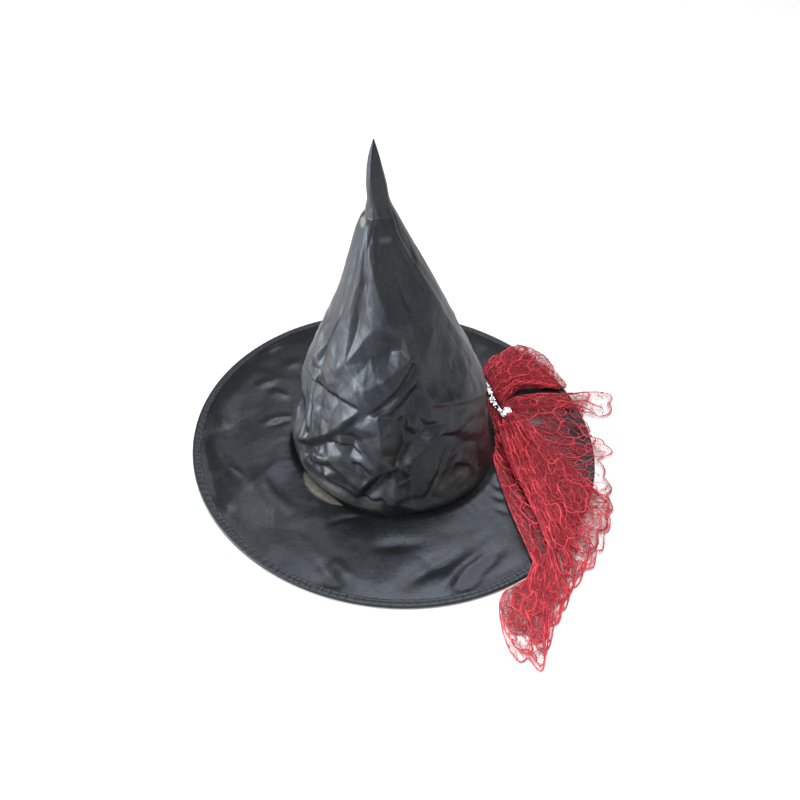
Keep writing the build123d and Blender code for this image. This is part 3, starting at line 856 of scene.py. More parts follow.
# The end of the cloth that is folded under the fall and comes out again beyond the brim.
TAIL_RIBS = (
    ((127, -131, 6), (121, -149, 3), (108, -160, 2), (100, -169, 2), (99, -188, 2), (103, -210, 2)),
    ((129, -130, 6), (124, -151, 3), (113, -170, 2), (108, -194, 2), (110, -218, 2)),
    ((132, -128, 6), (130, -152, 3), (122, -178, 2), (118, -204, 2), (121, -225, 2)),
    ((136, -126, 6), (136, -154, 3), (131, -182, 2), (129, -210, 2), (131, -230, 1)),
    ((140, -124, 6), (144, -150, 3), (145, -172, 2), (142, -196, 1)),
    ((146, -122, 6), (152, -146, 3), (156, -156, 2), (154, -164, 1)),
    ((138, -126, 6), (142, -152, 3), (140, -174, 1), (139, -192, 1)),
    ((134, -128, 6), (130, -154, 3), (124, -180, 1), (124, -208, 1)),
    ((128, -130, 6), (119, -153, 3), (109, -168, 1), (105, -188, 1), (106, -204, 1)),
)

# The lace's own measures, in millimetres: the step of its grid, the pitches of its webs of thin
# threads, cords and thick cords, and how far the cords' middles stand off the net.
LACE_STEP = 1.7
THREAD_PITCH, CORD_PITCH, VINE_PITCH = 5.2, 9.5, 25.0
CORD_LIFT = 0.3
# The lace keeps clear of the crown and does not stand above the gather.
LACE_INNER_R = 95.0
LACE_TOP = 27


def smooth_curve(points, stations):
    """Catmull-Rom curve through points of any size, read at stations in steps of one point."""
    points = np.asarray(points, dtype=float)
    padded = np.concatenate([[2 * points[0] - points[1]], points, [2 * points[-1] - points[-2]]])
    first = np.clip(stations.astype(int), 0, len(points) - 2)
    t = (stations - first).reshape((-1,) + (1,) * (points.ndim - 1))
    a, b, c, d = (padded[first + step] for step in range(4))
    square = (2 * a - 5 * b + 4 * c - d) * t**2
    return 0.5 * (2 * b + (c - a) * t + square + (3 * b - a - 3 * c + d) * t**3)


def lace_support(x, y):
    """Height of what lies under the lace: the brim's cloth, its binding, and the ground beyond."""
    radius = np.hypot(x, y)
    edge = BRIM_R / MM
    outside = np.interp(radius, [edge - 8, edge - 6, edge, edge + 5], [4.6, 4.1, 4.1, 0.2])
    return np.where(radius < edge - 8, brim_height(x, y) + 0.3, outside)


class Lace:
    """A piece of lace laid along its ribs, on a grid of even steps across and along the cloth."""

    def __init__(self, ribs, step, seed, scallop=24.0, scallop_depth=6.0):
        along = []
        for rib in ribs:
            fine = smooth_curve(rib, np.linspace(0, len(rib) - 1, 60))
            run = np.concatenate([[0], np.cumsum(np.linalg.norm(np.diff(fine, axis=0), axis=1))])
            even = np.linspace(0, run[-1], 90)
            along.append(np.stack([np.interp(even, run, fine[:, axis]) for axis in range(3)], -1))
        along = np.array(along)
        gaps = np.linalg.norm(np.diff(along, axis=0), axis=2).max(1)
        across = np.concatenate([[0], np.cumsum(gaps)])
        self.width = across[-1]
        columns = int(self.width / step)
        stations = np.interp(np.linspace(0, self.width, columns), across, np.arange(len(ribs)))
        surface = smooth_curve(along, stations)
        lengths = np.linalg.norm(np.diff(surface, axis=1), axis=2).sum(1)
        self.u = np.linspace(0, self.width, columns)
        # scallops along the hem
        notch = 1 - abs(np.sin(self.u * math.pi / scallop))
        hem = 1 - scallop_depth / np.maximum(lengths, 20) * notch
        self.lengths = lengths * hem
        self.length = self.lengths.max()
        rows = int(self.length / step)
        self.t = np.linspace(0, 1, rows)
        read = self.t[None, :] * hem[:, None] * (along.shape[1] - 1)
        low = np.clip(read.astype(int), 0, along.shape[1] - 2)
        part = (read - low)[..., None]
        column = np.arange(columns)[:, None]
        self.points = surface[column, low] * (1 - part) + surface[column, low + 1] * part
        self.crumple(seed)

    def cloth(self):
        """Cloth coordinates of the grid in millimetres: across, and along from the gather."""
        return self.u[:, None] + 0 * self.t, self.lengths[:, None] * self.t

    def normals(self):
        across = np.gradient(self.points, axis=0)
        along = np.gradient(self.points, axis=1)
        normal = np.cross(across, along)
        normal /= np.maximum(np.linalg.norm(normal, axis=2), 1e-6)[..., None]
        return normal

    def crumple(self, seed):
        """Pleats from the gather, which die away, and small random folds."""
        across, along = self.cloth()
        rng = np.random.default_rng(seed)
        turns = np.cumsum(rng.uniform(0.6, 1.5, 40)) * 2.2
        phase = np.interp(self.u, np.linspace(0, self.width, 40), turns)
        pleats = np.sin(phase[:, None] * 2.6 + along * 0.01) + 0.5 * np.sin(phase[:, None] * 6.1 + 1.0)
        height = 1.5 * pleats * (np.exp(-along / 38) + 0.16)
        height += crumple(across, along, 17, 1.1, seed) + crumple(across, along, 7, 0.35, seed + 1)
        fade = smoothstep(np.minimum(across, self.width - across), -6, 8)
        self.points = self.points + self.normals() * (height * fade)[..., None]
        x, y, z = np.moveaxis(self.points, 2, 0)
        rest = lace_support(x, y) + 0.9
        z = rest + 0.9 * np.logaddexp(0, (z - rest) / 0.9 - 0.3)
        reach = np.maximum(np.hypot(x, y), LACE_INNER_R)
        turn = np.arctan2(y, x)
        z = np.minimum(z, LACE_TOP)
        self.points = np.stack([reach * np.cos(turn), reach * np.sin(turn), z], -1)

    def place(self, u, v):
        """Points on the cloth and its normals there, and whether (u, v) is inside its outline."""
        column = np.clip(u / self.width, 0, 1) * (len(self.u) - 1)
        length = np.interp(u, self.u, self.lengths)
        row = np.clip(v / length, 0, 1) * (len(self.t) - 1)
        i = np.clip(column.astype(int), 0, len(self.u) - 2)
        j = np.clip(row.astype(int), 0, len(self.t) - 2)
        a, b = (column - i)[..., None], (row - j)[..., None]

        def read(grid):
            low = grid[i, j] * (1 - a) + grid[i + 1, j] * a
            high = grid[i, j + 1] * (1 - a) + grid[i + 1, j + 1] * a
            return low * (1 - b) + high * b

        inside = (u >= 0) & (u <= self.width) & (v >= 0) & (v <= length)
        return read(self.points), read(self.normals()), inside


def jittered_sites(width, length, spacing, seed):
    rng = random.Random(seed)
    sites = []
    for i in range(-1, int(width / spacing) + 2):
        for j in range(-1, int(length / spacing) + 2):
            sites.append(Vector(((i + rng.random()) * spacing, (j + rng.random()) * spacing)))
    return sites


def web(width, length, spacing, seed):
    """Threads of an irregular net, as pairs of ends: the borders between cells round scattered sites."""
    sites = jittered_sites(width, length, spacing, seed)
    flat, _, triangles, _, _, _ = geometry.delaunay_2d_cdt(sites, [], [], 0, 1e-9)
    middles, beside = [], {}
    for number, triangle in enumerate(triangles):
        (ax, ay), (bx, by), (cx, cy) = (flat[corner] for corner in triangle)
        middles.append(((ax + bx + cx) / 3, (ay + by + cy) / 3))
        for k in range(3):
            edge = frozenset((triangle[k], triangle[(k + 1) % 3]))
            beside.setdefault(edge, []).append(number)
    return np.array([[middles[n] for n in pair] for pair in beside.values() if len(pair) == 2])


def tubes(paths, normals, radii, flatness=0.75):
    """Points and faces of thin four-sided cords along paths of equal count: (paths, steps, 3)."""
    count, steps, _ = paths.shape
    ahead = np.gradient(paths, axis=1)
    ahead /= np.maximum(np.linalg.norm(ahead, axis=2), 1e-9)[..., None]
    side = np.cross(ahead, normals)
    side /= np.maximum(np.linalg.norm(side, axis=2), 1e-9)[..., None]
    up = np.cross(side, ahead)
    radii = np.broadcast_to(radii, (count, steps))[..., None]
    ring = [
        paths + side * radii, paths + up * radii * flatness,
        paths - side * radii, paths - up * radii * flatness,
    ]
    points = np.stack(ring, 2).reshape(-1, 3)
    numbers = np.arange(count), np.arange(steps - 1), np.arange(4)
    path, step, corner = np.meshgrid(*numbers, indexing="ij")
    here = (path * steps + step) * 4
    ahead_of = here + 4
    following = (corner + 1) % 4
    faces = np.stack([here + corner, here + following, ahead_of + following, ahead_of + corner], -1)
    first = np.arange(count)[:, None] * steps * 4
    last = first + (steps - 1) * 4
    caps = np.concatenate([first + np.array([3, 2, 1, 0]), last + np.arange(4)])
    return points, np.concatenate([faces.reshape(-1, 4), caps])


def lace_threads(lace, spacing, radius, seed, steps, lift=CORD_LIFT, bow=0.12, sparse=(0, 1.0)):
    """Cords of one net on a piece of lace.

    sparse is how near the hem they thin out, and the share that is left there.
    """
    ends = web(lace.width, lace.length, spacing, seed)
    rng = np.random.default_rng(seed)
    t = np.linspace(0, 1, steps)[None, :, None]
    paths = ends[:, :1] * (1 - t) + ends[:, 1:] * t
    run = ends[:, 1] - ends[:, 0]
    sideways = np.stack([-run[:, 1], run[:, 0]], -1)[:, None, :]
    paths = paths + sideways * np.sin(t * math.pi) * rng.normal(0, bow, (len(ends), 1, 1))
    points, normals, inside = lace.place(paths[..., 0], paths[..., 1])
    hem = np.interp(paths[..., 0], lace.u, lace.lengths) - paths[..., 1]
    kept = inside.all(1) & ((hem.min(1) > sparse[0]) | (rng.random(len(ends)) < sparse[1]))
    swell = rng.uniform(0.7, 1.35, (len(ends), 1)) * (1 + 0.35 * (2 * t[..., 0] - 1) ** 2)
    return tubes((points + normals * lift)[kept], normals[kept], (radius * swell)[kept])


def lace_border(lace, radius):
    """Thick cord along the hem and the two cut sides."""
    parts = []
    for index, across, along in (
        (0, np.linspace(0, 0, 160), np.linspace(0, 1, 160)),
        (1, np.linspace(1, 1, 160), np.linspace(0, 1, 160)),
        (2, np.linspace(0, 1, 1400), np.linspace(1, 1, 1400)),
    ):
        u = across * lace.width
        v = along * np.interp(u, lace.u, lace.lengths)
        points, normals, _ = lace.place(u, v)
        thick = radius * (1 if index == 2 else 0.7) * (1 + 0.25 * np.sin(np.arange(len(u)) * 0.9))
        parts.append(tubes(points[None], normals[None], thick[None]))
    return parts


def join_parts(parts):
    points, faces, start = [], [], 0
    for part_points, part_faces in parts:
        points.append(part_points)
        faces.append(part_faces + start)
        start += len(part_points)
    return np.concatenate(points), np.concatenate(faces)


def make_lace(name, lace, open_cells, seed, materials, nodes, airy=0):
    """The ground net as a sheet with its open cells cut out, and its cords and threads on it."""
    net_material, cord_material, thread_material = materials
    across, along = lace.cloth()
    columns, rows = across.shape
    faces = grid_faces(columns, rows, False)
    middle_u = across.ravel()[faces].mean(1)
    middle_v = along.ravel()[faces].mean(1)
    keep = ~open_cells(lace, middle_u, middle_v)
    stretched = np.linalg.norm(np.gradient(lace.points, axis=0), axis=2) / (lace.u[1] - lace.u[0])
    sheet = make_mesh(
        name, lace.points.reshape(-1, 3) * MM, faces[keep], net_material,
        np.stack([across, along], -1).reshape(-1, 2) * MM,
    )
    crowd = sheet.data.attributes.new("crowd", "FLOAT", "POINT")
    crowding = np.clip(1 / np.maximum(stretched, 0.1), 1, 6)
    crowd.data.foreach_set("value", crowding.ravel().astype(np.float32))
    parts = [
        lace_threads(lace, CORD_PITCH, 0.30, seed, 4, sparse=(0.6 * airy, 0.6)),
        lace_threads(lace, VINE_PITCH, 0.62, seed + 1, 9, lift=0.5, bow=0.2),
        *lace_border(lace, 0.6),
    ]
    points, cord_faces = join_parts(parts)
    cords = make_mesh(name + "_cords", points * MM, cord_faces, cord_material)
    points, thread_faces = lace_threads(
        lace, THREAD_PITCH, 0.17, seed + 2, 3, lift=0.15, sparse=(airy, 0.15)
    )
    threads = make_mesh(name + "_threads", points * MM, thread_faces, thread_material)
    for piece in (sheet, cords, threads):
        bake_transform(piece)
        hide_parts(*nodes)
    width, length, area = flat_cut(lace.points * MM)


def flat_cut(points):
    """Width, length and area of the lace's grid of points laid out flat, in the points' unit.

    Each column becomes a straight line of its own length.  Its neighbour starts as far away, and
    spreads from it as fast, as the gaps between the two, square to them, do on the lace.
    """
    steps = np.linalg.norm(np.diff(points, axis=1), axis=2)
    run = np.concatenate([np.zeros((len(points), 1)), np.cumsum(steps, axis=1)], axis=1)
    lengths = run[:, -1]
    tangent = np.gradient(0.5 * (points[1:] + points[:-1]), axis=1)
    tangent /= np.linalg.norm(tangent, axis=2)[..., None]
    between = np.diff(points, axis=0)
    slip = (between * tangent).sum(2)
    gaps = np.linalg.norm(between - slip[..., None] * tangent, axis=2)
    along = 0.5 * (run[1:] + run[:-1])
    middle = along.mean(1, keepdims=True)
    spread = ((along - middle) * gaps).sum(1) / ((along - middle) ** 2).sum(1)
    start = np.maximum(gaps.mean(1) - spread * middle[:, 0], 0)
    turn = np.concatenate([[0], np.cumsum(spread)])
    heading = np.stack([np.sin(turn), np.cos(turn)], -1)
    aside = 0.5 * (turn[1:] + turn[:-1])
    shifts = start[:, None] * np.stack([np.cos(aside), -np.sin(aside)], -1)
    shifts += slip[:, :1] * np.stack([np.sin(aside), np.cos(aside)], -1)
    tops = np.concatenate([[[0, 0]], np.cumsum(shifts, axis=0)])
    outline = np.concatenate([tops, tops + lengths[:, None] * heading])
    boxes = []
    for angle in np.radians(np.arange(0, 90, 3)):
        across = np.ptp(outline @ (math.cos(angle), math.sin(angle)))
        down = np.ptp(outline @ (-math.sin(angle), math.cos(angle)))
        boxes.append((across * down, across, down))
    _, width, length = min(boxes)
    x, y = np.concatenate([tops, outline[len(tops):][::-1]]).T
    area = 0.5 * abs(np.dot(x, np.roll(y, 1)) - np.dot(y, np.roll(x, 1)))
    return float(width), float(length), float(area)


def hem_openings(reach, share, seed):
    """Chooses cells of the coarse net near the hem, which are open."""
    def chosen(lace, u, v):
        sites = jittered_sites(lace.width, lace.length, CORD_PITCH, seed)
        rng = random.Random(seed + 5)
        lucky = np.array([rng.random() < share for _ in sites])
        places = np.array([tuple(site) for site in sites])
        opened = np.zeros(len(u), dtype=bool)
        edge = np.interp(u, lace.u, lace.lengths) - v
        near = np.flatnonzero(edge < reach)
        for chunk in np.array_split(near, max(1, len(near) // 4000)):
            gap = (u[chunk, None] - places[:, 0]) ** 2 + (v[chunk, None] - places[:, 1]) ** 2
            opened[chunk] = lucky[gap.argmin(1)]
        return opened & (edge > 2.0)
    return chosen


def lace_net(name):
    """Fine knotted ground: meshes about a millimetre across, closer where the cloth is gathered."""
    shader = Shader(name)
    cloth = shader.uv()
    cells = shader.add(
        "ShaderNodeTexVoronoi", feature="DISTANCE_TO_EDGE", Scale=1 / (1.25 * MM), Randomness=0.35
    )
    shader.link(cloth, cells.inputs["Vector"])
    crowd = shader.add("ShaderNodeAttribute", attribute_name="crowd").outputs["Fac"]
    patches = shader.noise(cloth, 140.0, 3.0, 0.6)
    loose_width = shader.math("ADD", shader.math("MULTIPLY", patches, 0.11), 0.025)
    width = shader.math("MULTIPLY", crowd, loose_width)
    thread = shader.math("LESS_THAN", cells.outputs["Distance"], width)
    shader.feed(Alpha=shader.math("MULTIPLY", thread, 0.92))
    tone = shader.noise(cloth, 60.0, 4.0, 0.6)
    colour = shader.blend(tone, (0.17, 0.005, 0.015), (0.38, 0.016, 0.033))
    shader.feed(Base_Color=colour)
    shader.feed(Normal=shader.bump(cells.outputs["Distance"], 0.1 * MM, 0.5))
    shader.set(Roughness=0.6, Sheen_Weight=0.2, Sheen_Tint=(1.0, 0.4, 0.4, 1))
    return shader.material


def lace_cord(name, dark, bright):
    """Red polyester cord: twisted plies, brighter where it catches the light."""
    shader = Shader(name)
    plies = shader.add("ShaderNodeTexWave", bands_direction="DIAGONAL", Scale=700.0, Distortion=2.0)
    shader.link(shader.space(), plies.inputs["Vector"])
    tone = shader.noise(shader.space(), 90.0, 4.0, 0.6)
    colour = shader.blend(shader.ramp(tone, (0.35, 0), (0.65, 1)), dark, bright)
    # painted glint: the bands of the plies are painted lighter
    glint = shader.math("MULTIPLY", plies.outputs["Fac"], 0.25)
    lit = shader.blend(glint, colour, tuple(1.2 * c for c in bright))
    shader.feed(Base_Color=lit)
    shader.feed(Normal=shader.bump(plies.outputs["Fac"], 0.12 * MM, 0.7))
    shader.set(Roughness=0.5, Sheen_Weight=0.12, Sheen_Tint=(1.0, 0.4, 0.4, 1), Specular_IOR_Level=0.35)
    return shader.material


# ---- trim --------------------------------------------------------------------------------
# The silver trim lies along the top of the gather, from the back round to the stone.
TRIM_ROUTE = ((82, 68, 26), (84, 59, 28), (87, 49, 29), (90, 37, 29), (94, 28, 29), (101, 20, 28))
SEQUIN_R = 2.1
BEAD_R = 0.62
# One place in this many along the route is left bare.
BARE_EVERY = 6


def rings_about_z(rings, sides):
    """Points of rings about Z, given as (radius, height, turn); turn is a share of a side."""
    points = []
    for radius, height, turn in rings:
        for side in range(sides):
            angle = 2 * math.pi * (side + turn) / sides
            points.append((radius * math.cos(angle), radius * math.sin(angle), height))
    return points


def cup(radius, sides, depth):
    """A faceted sequin: a shallow cup with a rim, a flat ring and a small hole."""
    under = ((1.0, 0.0), (0.72, -depth), (0.18, -depth * 1.15))
    profile = (*under, (0.18, -depth * 0.8), (0.66, -depth * 0.7), (0.94, 0.18))
    rings = [(share * radius, height, 0) for share, height in profile]
    return np.array(rings_about_z(rings, sides)), grid_faces(len(rings), sides, True)


def bead(radius, sides=8, levels=5):
    """A small round bead with a hole up its middle."""
    rises = [math.pi * (0.12 + 0.76 * level / levels) for level in range(levels + 1)]
    rings = [(radius * math.sin(rise), -radius * math.cos(rise), 0) for rise in rises]
    rings += [(0.3 * radius, 0.7 * radius, 0), (0.3 * radius, -0.7 * radius, 0)]
    return np.array(rings_about_z(rings, sides)), grid_faces(len(rings), sides, True)


def make_trim(silver):
    """Overlapping silver sequins, each held down by a small bead, in two uneven rows."""
    rng = random.Random(81)
    stations = np.linspace(0, len(TRIM_ROUTE) - 1, 23)
    route = smooth_curve(TRIM_ROUTE, stations)
    ahead = np.gradient(route, axis=0)
    sequins, beads = [], []
    for number, (place, run) in enumerate(zip(route, ahead)):
        if number % BARE_EVERY == BARE_EVERY - 1:
            continue
        run = Vector(run).normalized()
        outward = Vector((0.45, -0.25, 1)).normalized()
        side = run.cross(outward).normalized()
        for row in (-1, 1):
            normal = outward + side * rng.uniform(-0.5, 0.5) + run * rng.uniform(-0.5, 0.5)
            normal.normalize()
            turn = normal.to_track_quat("Z", "Y").to_matrix()
            spin = Matrix.Rotation(rng.uniform(0, math.pi), 3, "Z")
            aside = side * (row * 1.3 + rng.uniform(-1.1, 1.1))
            middle = Vector(place) + aside + run * rng.uniform(-0.9, 0.9)
            points, faces = cup(SEQUIN_R * rng.uniform(0.6, 1.05), 9, 0.55)
            sequins.append((np.array([middle + turn @ (spin @ Vector(p)) for p in points]), faces))
            points, faces = bead(BEAD_R)
            beads.append((np.array([middle + turn @ Vector(p) for p in points]), faces))
    for name, parts in (("silver_sequins", sequins), ("seed_beads", beads)):
        points, faces = join_parts(parts)
        piece = make_mesh(name, points * MM, faces, silver, smooth=False)
        stand_for(piece, "sequins", "sequin_trim")


# How far the stone sits from its CAD place, out onto the top of the modelled lace, in millimetres.
STONE_SHIFT = (2.0, 0.4, 3.0)
CUP_SIDES = 24


def make_stone(crystal, chrome):
    """Round brilliant-cut stone in a pronged cup, tipped towards the front."""
    low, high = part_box("rhinestone")
    middle = Vector([(a + b) / 2 / MM for a, b in zip(low, high)]) + Vector(STONE_SHIFT)
    radius = (high[0] - low[0]) / 2 / MM
    tip = Vector((0.35, -0.5, 1)).to_track_quat("Z", "Y").to_matrix()

    def placed(shape):
        return [(middle + tip @ Vector(p)) * MM for p in shape]

    rings = ((0.0, -1.5, 0), (1.0, -0.1, 0.5), (1.0, 0.15, 0.5), (0.82, 0.85, 0), (0.55, 1.35, 0.5))
    sides = 8
    points = rings_about_z([(max(share * radius, 0.05), *rest) for share, *rest in rings], sides)
    faces = [tuple(face) for face in grid_faces(len(rings), sides, True)]
    last = (len(rings) - 1) * sides
    faces += [tuple(reversed(range(sides))), tuple(range(last, last + sides))]
    triangles = []
    for face in faces[:-2]:
        triangles += [(face[0], face[1], face[2]), (face[0], face[2], face[3])]
    faces = triangles + faces[-2:]
    stone = make_mesh("crystal_stone", placed(points), faces, crystal, smooth=False)
    stand_for(stone, "stone", "rhinestone")

    outside = ((0.3, -2.3), (0.75, -2.2), (1.12, -0.5), (1.17, -0.3))
    inside = ((1.10, -0.2), (1.02, -0.45), (0.66, -1.9), (0.3, -2.0))
    wall = [(share * radius, height, 0) for share, height in (*outside, *inside)]
    parts = [(np.array(rings_about_z(wall, CUP_SIDES)), grid_faces(len(wall), CUP_SIDES, True))]
    for claw in range(4):
        angle = math.pi / 4 + math.pi / 2 * claw
        outward = np.array([math.cos(angle), math.sin(angle), 0])
        bend = np.array([[1.12, -1.2], [1.14, 0.1], [1.02, 0.6], [0.80, 0.95]])
        path = outward[None, :] * bend[:, :1] * radius + np.array([[0, 0, 1]]) * bend[:, 1:]
        normals = np.broadcast_to(outward, path.shape)
        parts.append(tubes(path[None], normals[None], np.array([[0.45, 0.45, 0.42, 0.3]]), 1.0))
    points, faces = join_parts(parts)
    setting = make_mesh("claw_setting", placed(points), faces, chrome)
    stand_for(setting, "setting", "stone_setting")


def foil(name):
    """Metallised film: bright, slightly uneven mirror with a cool and a warm cast."""
    shader = Shader(name)
    cast = shader.noise(shader.space(), 500.0, 2.0, 0.5)
    tint = shader.ramp(cast, (0.35, (0.86, 0.90, 1.0)), (0.65, (1.0, 0.96, 0.92)))
    shader.feed(Base_Color=tint)
    shader.feed(Roughness=shader.ramp(cast, (0.3, 0.10), (0.7, 0.24)))
    shader.feed(Normal=shader.bump(cast, 0.1 * MM, 0.3))
    shader.set(Metallic=1.0)
    return shader.material


def crystal(name):
    """Foil-backed glass: bright facets with a clear coat."""
    shader = Shader(name)
    haze = shader.noise(shader.space(), 900.0, 3.0, 0.5)
    shader.feed(Roughness=shader.ramp(haze, (0.3, 0.03), (0.7, 0.09)))
    tint = shader.ramp(haze, (0.3, (0.88, 0.93, 1.0)), (0.7, (1.0, 0.99, 0.97)))
    shader.feed(Base_Color=tint)
    shader.feed(Normal=shader.bump(haze, 0.02 * MM, 0.2))
    shader.set(Metallic=0.2, IOR=1.6, Coat_Weight=1.0, Coat_Roughness=0.02)
    return shader.material


def sweatband_ribs(name, colour, light, radius, pitch):
    """Ribbed ribbon on a band about Z: ribs up the band, lighter in colour on their crests, in patches.
    """
    shader = Shader(name)
    parts = shader.add("ShaderNodeSeparateXYZ")
    shader.link(shader.space(), parts.inputs["Vector"])
    turn = shader.math("ARCTAN2", parts.outputs["Y"], parts.outputs["X"])
    ribs = shader.math("SINE", shader.math("MULTIPLY", turn, 2 * math.pi * radius / pitch), 0.0)
    ribs = shader.math("ADD", shader.math("MULTIPLY", ribs, 0.5), 0.5)
    paleness = shader.noise(shader.space(), 60.0, 5.0, 0.6)
    crest = shader.math("MULTIPLY", ribs, paleness)
    shader.feed(Base_Color=shader.blend(crest, colour, light))
    shader.feed(Normal=shader.bump(ribs, 0.25 * MM, 0.8))
    shader.set(Roughness=0.7, Sheen_Weight=0.3)
    return shader.material


def gather_stitches():
    """Upright hand stitches that hold the gather to the foot of the crown."""
    rng = random.Random(41)
    for number in range(9):
        turn = math.radians(2 + number * 5.6 + rng.uniform(-1, 1))
        radius = CROWN_R / MM + 1.2
        centre = (radius * math.cos(turn), radius * math.sin(turn), 13 + rng.uniform(-1.5, 1.5))
        direction = rng.uniform(-0.15, 0.15), rng.uniform(-0.15, 0.15), 1
        yield centre, direction, 8 + rng.uniform(-1, 1), 0.4


# Azimuth in degrees and height in millimetres of each stitch over the tuck.
TUCK_STITCHES = ((-152, 253), (-141, 255), (-129, 255), (-117, 256), (-104, 256), (-92, 257))


def tuck_stitches(crown):
    """Hand stitches over the tuck, laid on the crown's cloth on the left of the front."""
    surface = BVHTree.FromObject(crown, bpy.context.evaluated_depsgraph_get())
    rng = random.Random(43)
    for azimuth, height in TUCK_STITCHES:
        turn = math.radians(azimuth)
        inward = Vector((-math.cos(turn), -math.sin(turn), 0))
        middle = Vector(JOINTS["tip_bend"]["pos_m"])
        middle.z = height * MM
        spot = surface.ray_cast(middle - inward * 0.06, inward)[0]
        if spot:
            lie = Vector((-math.sin(turn), math.cos(turn), rng.uniform(-0.1, 0.25)))
            yield (spot - inward * 0.2 * MM) / MM, lie, 2.6, 0.3


# ---- materials of the small parts --------------------------------------------------------
def felt(name, light, dark, scale):
    """Non-woven stiffener: matt, with a random mat of short fibres."""
    shader = Shader(name)
    fibres = shader.noise(shader.space(), scale, 6.0, 0.75)
    cells = shader.add("ShaderNodeTexVoronoi", feature="DISTANCE_TO_EDGE", Scale=scale * 2.2)
    shader.link(shader.space(), cells.inputs["Vector"])
    mixed = shader.math("MULTIPLY", fibres, shader.math("ADD", cells.outputs["Distance"], 0.8))
    shader.feed(Base_Color=shader.ramp(mixed, (0.3, dark), (0.62, light)))
    shader.feed(Normal=shader.bump(mixed, 0.3 * MM, 0.8))
    shader.set(Roughness=0.92, Sheen_Weight=0.15)
    return shader.material


def thread_material(name, colour, light):
    """Twisted sewing thread: fine diagonal plies and a soft shine."""
    shader = Shader(name)
    twist = shader.add("ShaderNodeTexWave", bands_direction="DIAGONAL", Scale=900.0, Distortion=1.0)
    shader.link(shader.space(), twist.inputs["Vector"])
    shader.feed(Base_Color=shader.blend(twist.outputs["Fac"], colour, light))
    shader.feed(Normal=shader.bump(twist.outputs["Fac"], 0.08 * MM, 0.8))
    shader.set(Roughness=0.45, Sheen_Weight=0.3)
    return shader.material


def metal(name, colour, roughness, scratch_scale):
    """Bright metal with fine drawn scratches and a little uneven gloss."""
    shader = Shader(name)
    scratches = shader.noise(shader.space((1, 1, 6)), scratch_scale, 5.0, 0.7)
    uneven = shader.ramp(scratches, (0.3, roughness * 0.7), (0.7, roughness * 1.4))
    shader.feed(Roughness=uneven)
    shader.feed(Base_Color=shader.blend(scratches, tuple(0.75 * c for c in colour), colour))
    shader.feed(Normal=shader.bump(scratches, 0.03 * MM, 0.4))
    shader.set(Metallic=1.0)
    return shader.material


def assign(node, material):
    """Gives a carried-over CAD node its finish."""
    piece = frame["nodes"][node]
    for slot in piece.material_slots:
        slot.material = material
    if not piece.material_slots:
        piece.data.materials.append(material)


# ---- stage, lights and camera ------------------------------------------------------------
# The floor's side and its height, just below the underside of the brim, in metres.
FLOOR_SIZE = 40
FLOOR_Z = -0.0003


def make_stage():
    shader = Shader("pale_floor")
    paper = shader.noise(shader.space(), 40.0, 4.0, 0.5)
    shader.feed(Base_Color=shader.ramp(paper, (0.3, 0.86), (0.7, 0.9)))
    shader.set(Roughness=0.9)
    bpy.ops.mesh.primitive_plane_add(size=FLOOR_SIZE, location=(0, 0, FLOOR_Z))
    floor = bpy.context.object
    floor.name = "floor"
    floor.data.materials.append(shader.material)


def area_light(name, place, target, size, power, colour):
    data = bpy.data.lights.new(name, "AREA")
    data.shape = "DISK"
    data.size = size
    data.energy = power
    data.color = colour
    light = bpy.data.objects.new(name, data)
    light.location = place
    light.rotation_euler = (Vector(target) - Vector(place)).to_track_quat("-Z", "Y").to_euler()
    bpy.context.scene.collection.objects.link(light)


# Soft light from the walls and ceiling of the studio: direction it comes from, cosine where it
# begins and where it is full, strength and colour.
SOFT_LIGHTS = (
    ((-0.93, -0.25, 0.16), 0.80, 0.98, 1.6, (0.98, 0.99, 1.0)),
    ((0.12, 0.42, 0.90), 0.93, 0.993, 7.0, (0.98, 0.99, 1.0)),
    ((-0.2, -0.6, 0.75), 0.55, 0.95, 0.5, (1.0, 0.97, 0.90)),
    # the pale wall all round, up to a little above the floor's far edge
    ((0, 0, 1), 0.36, 0.16, 0.42, (1.0, 1.0, 1.0)),
)
AMBIENT = 0.08


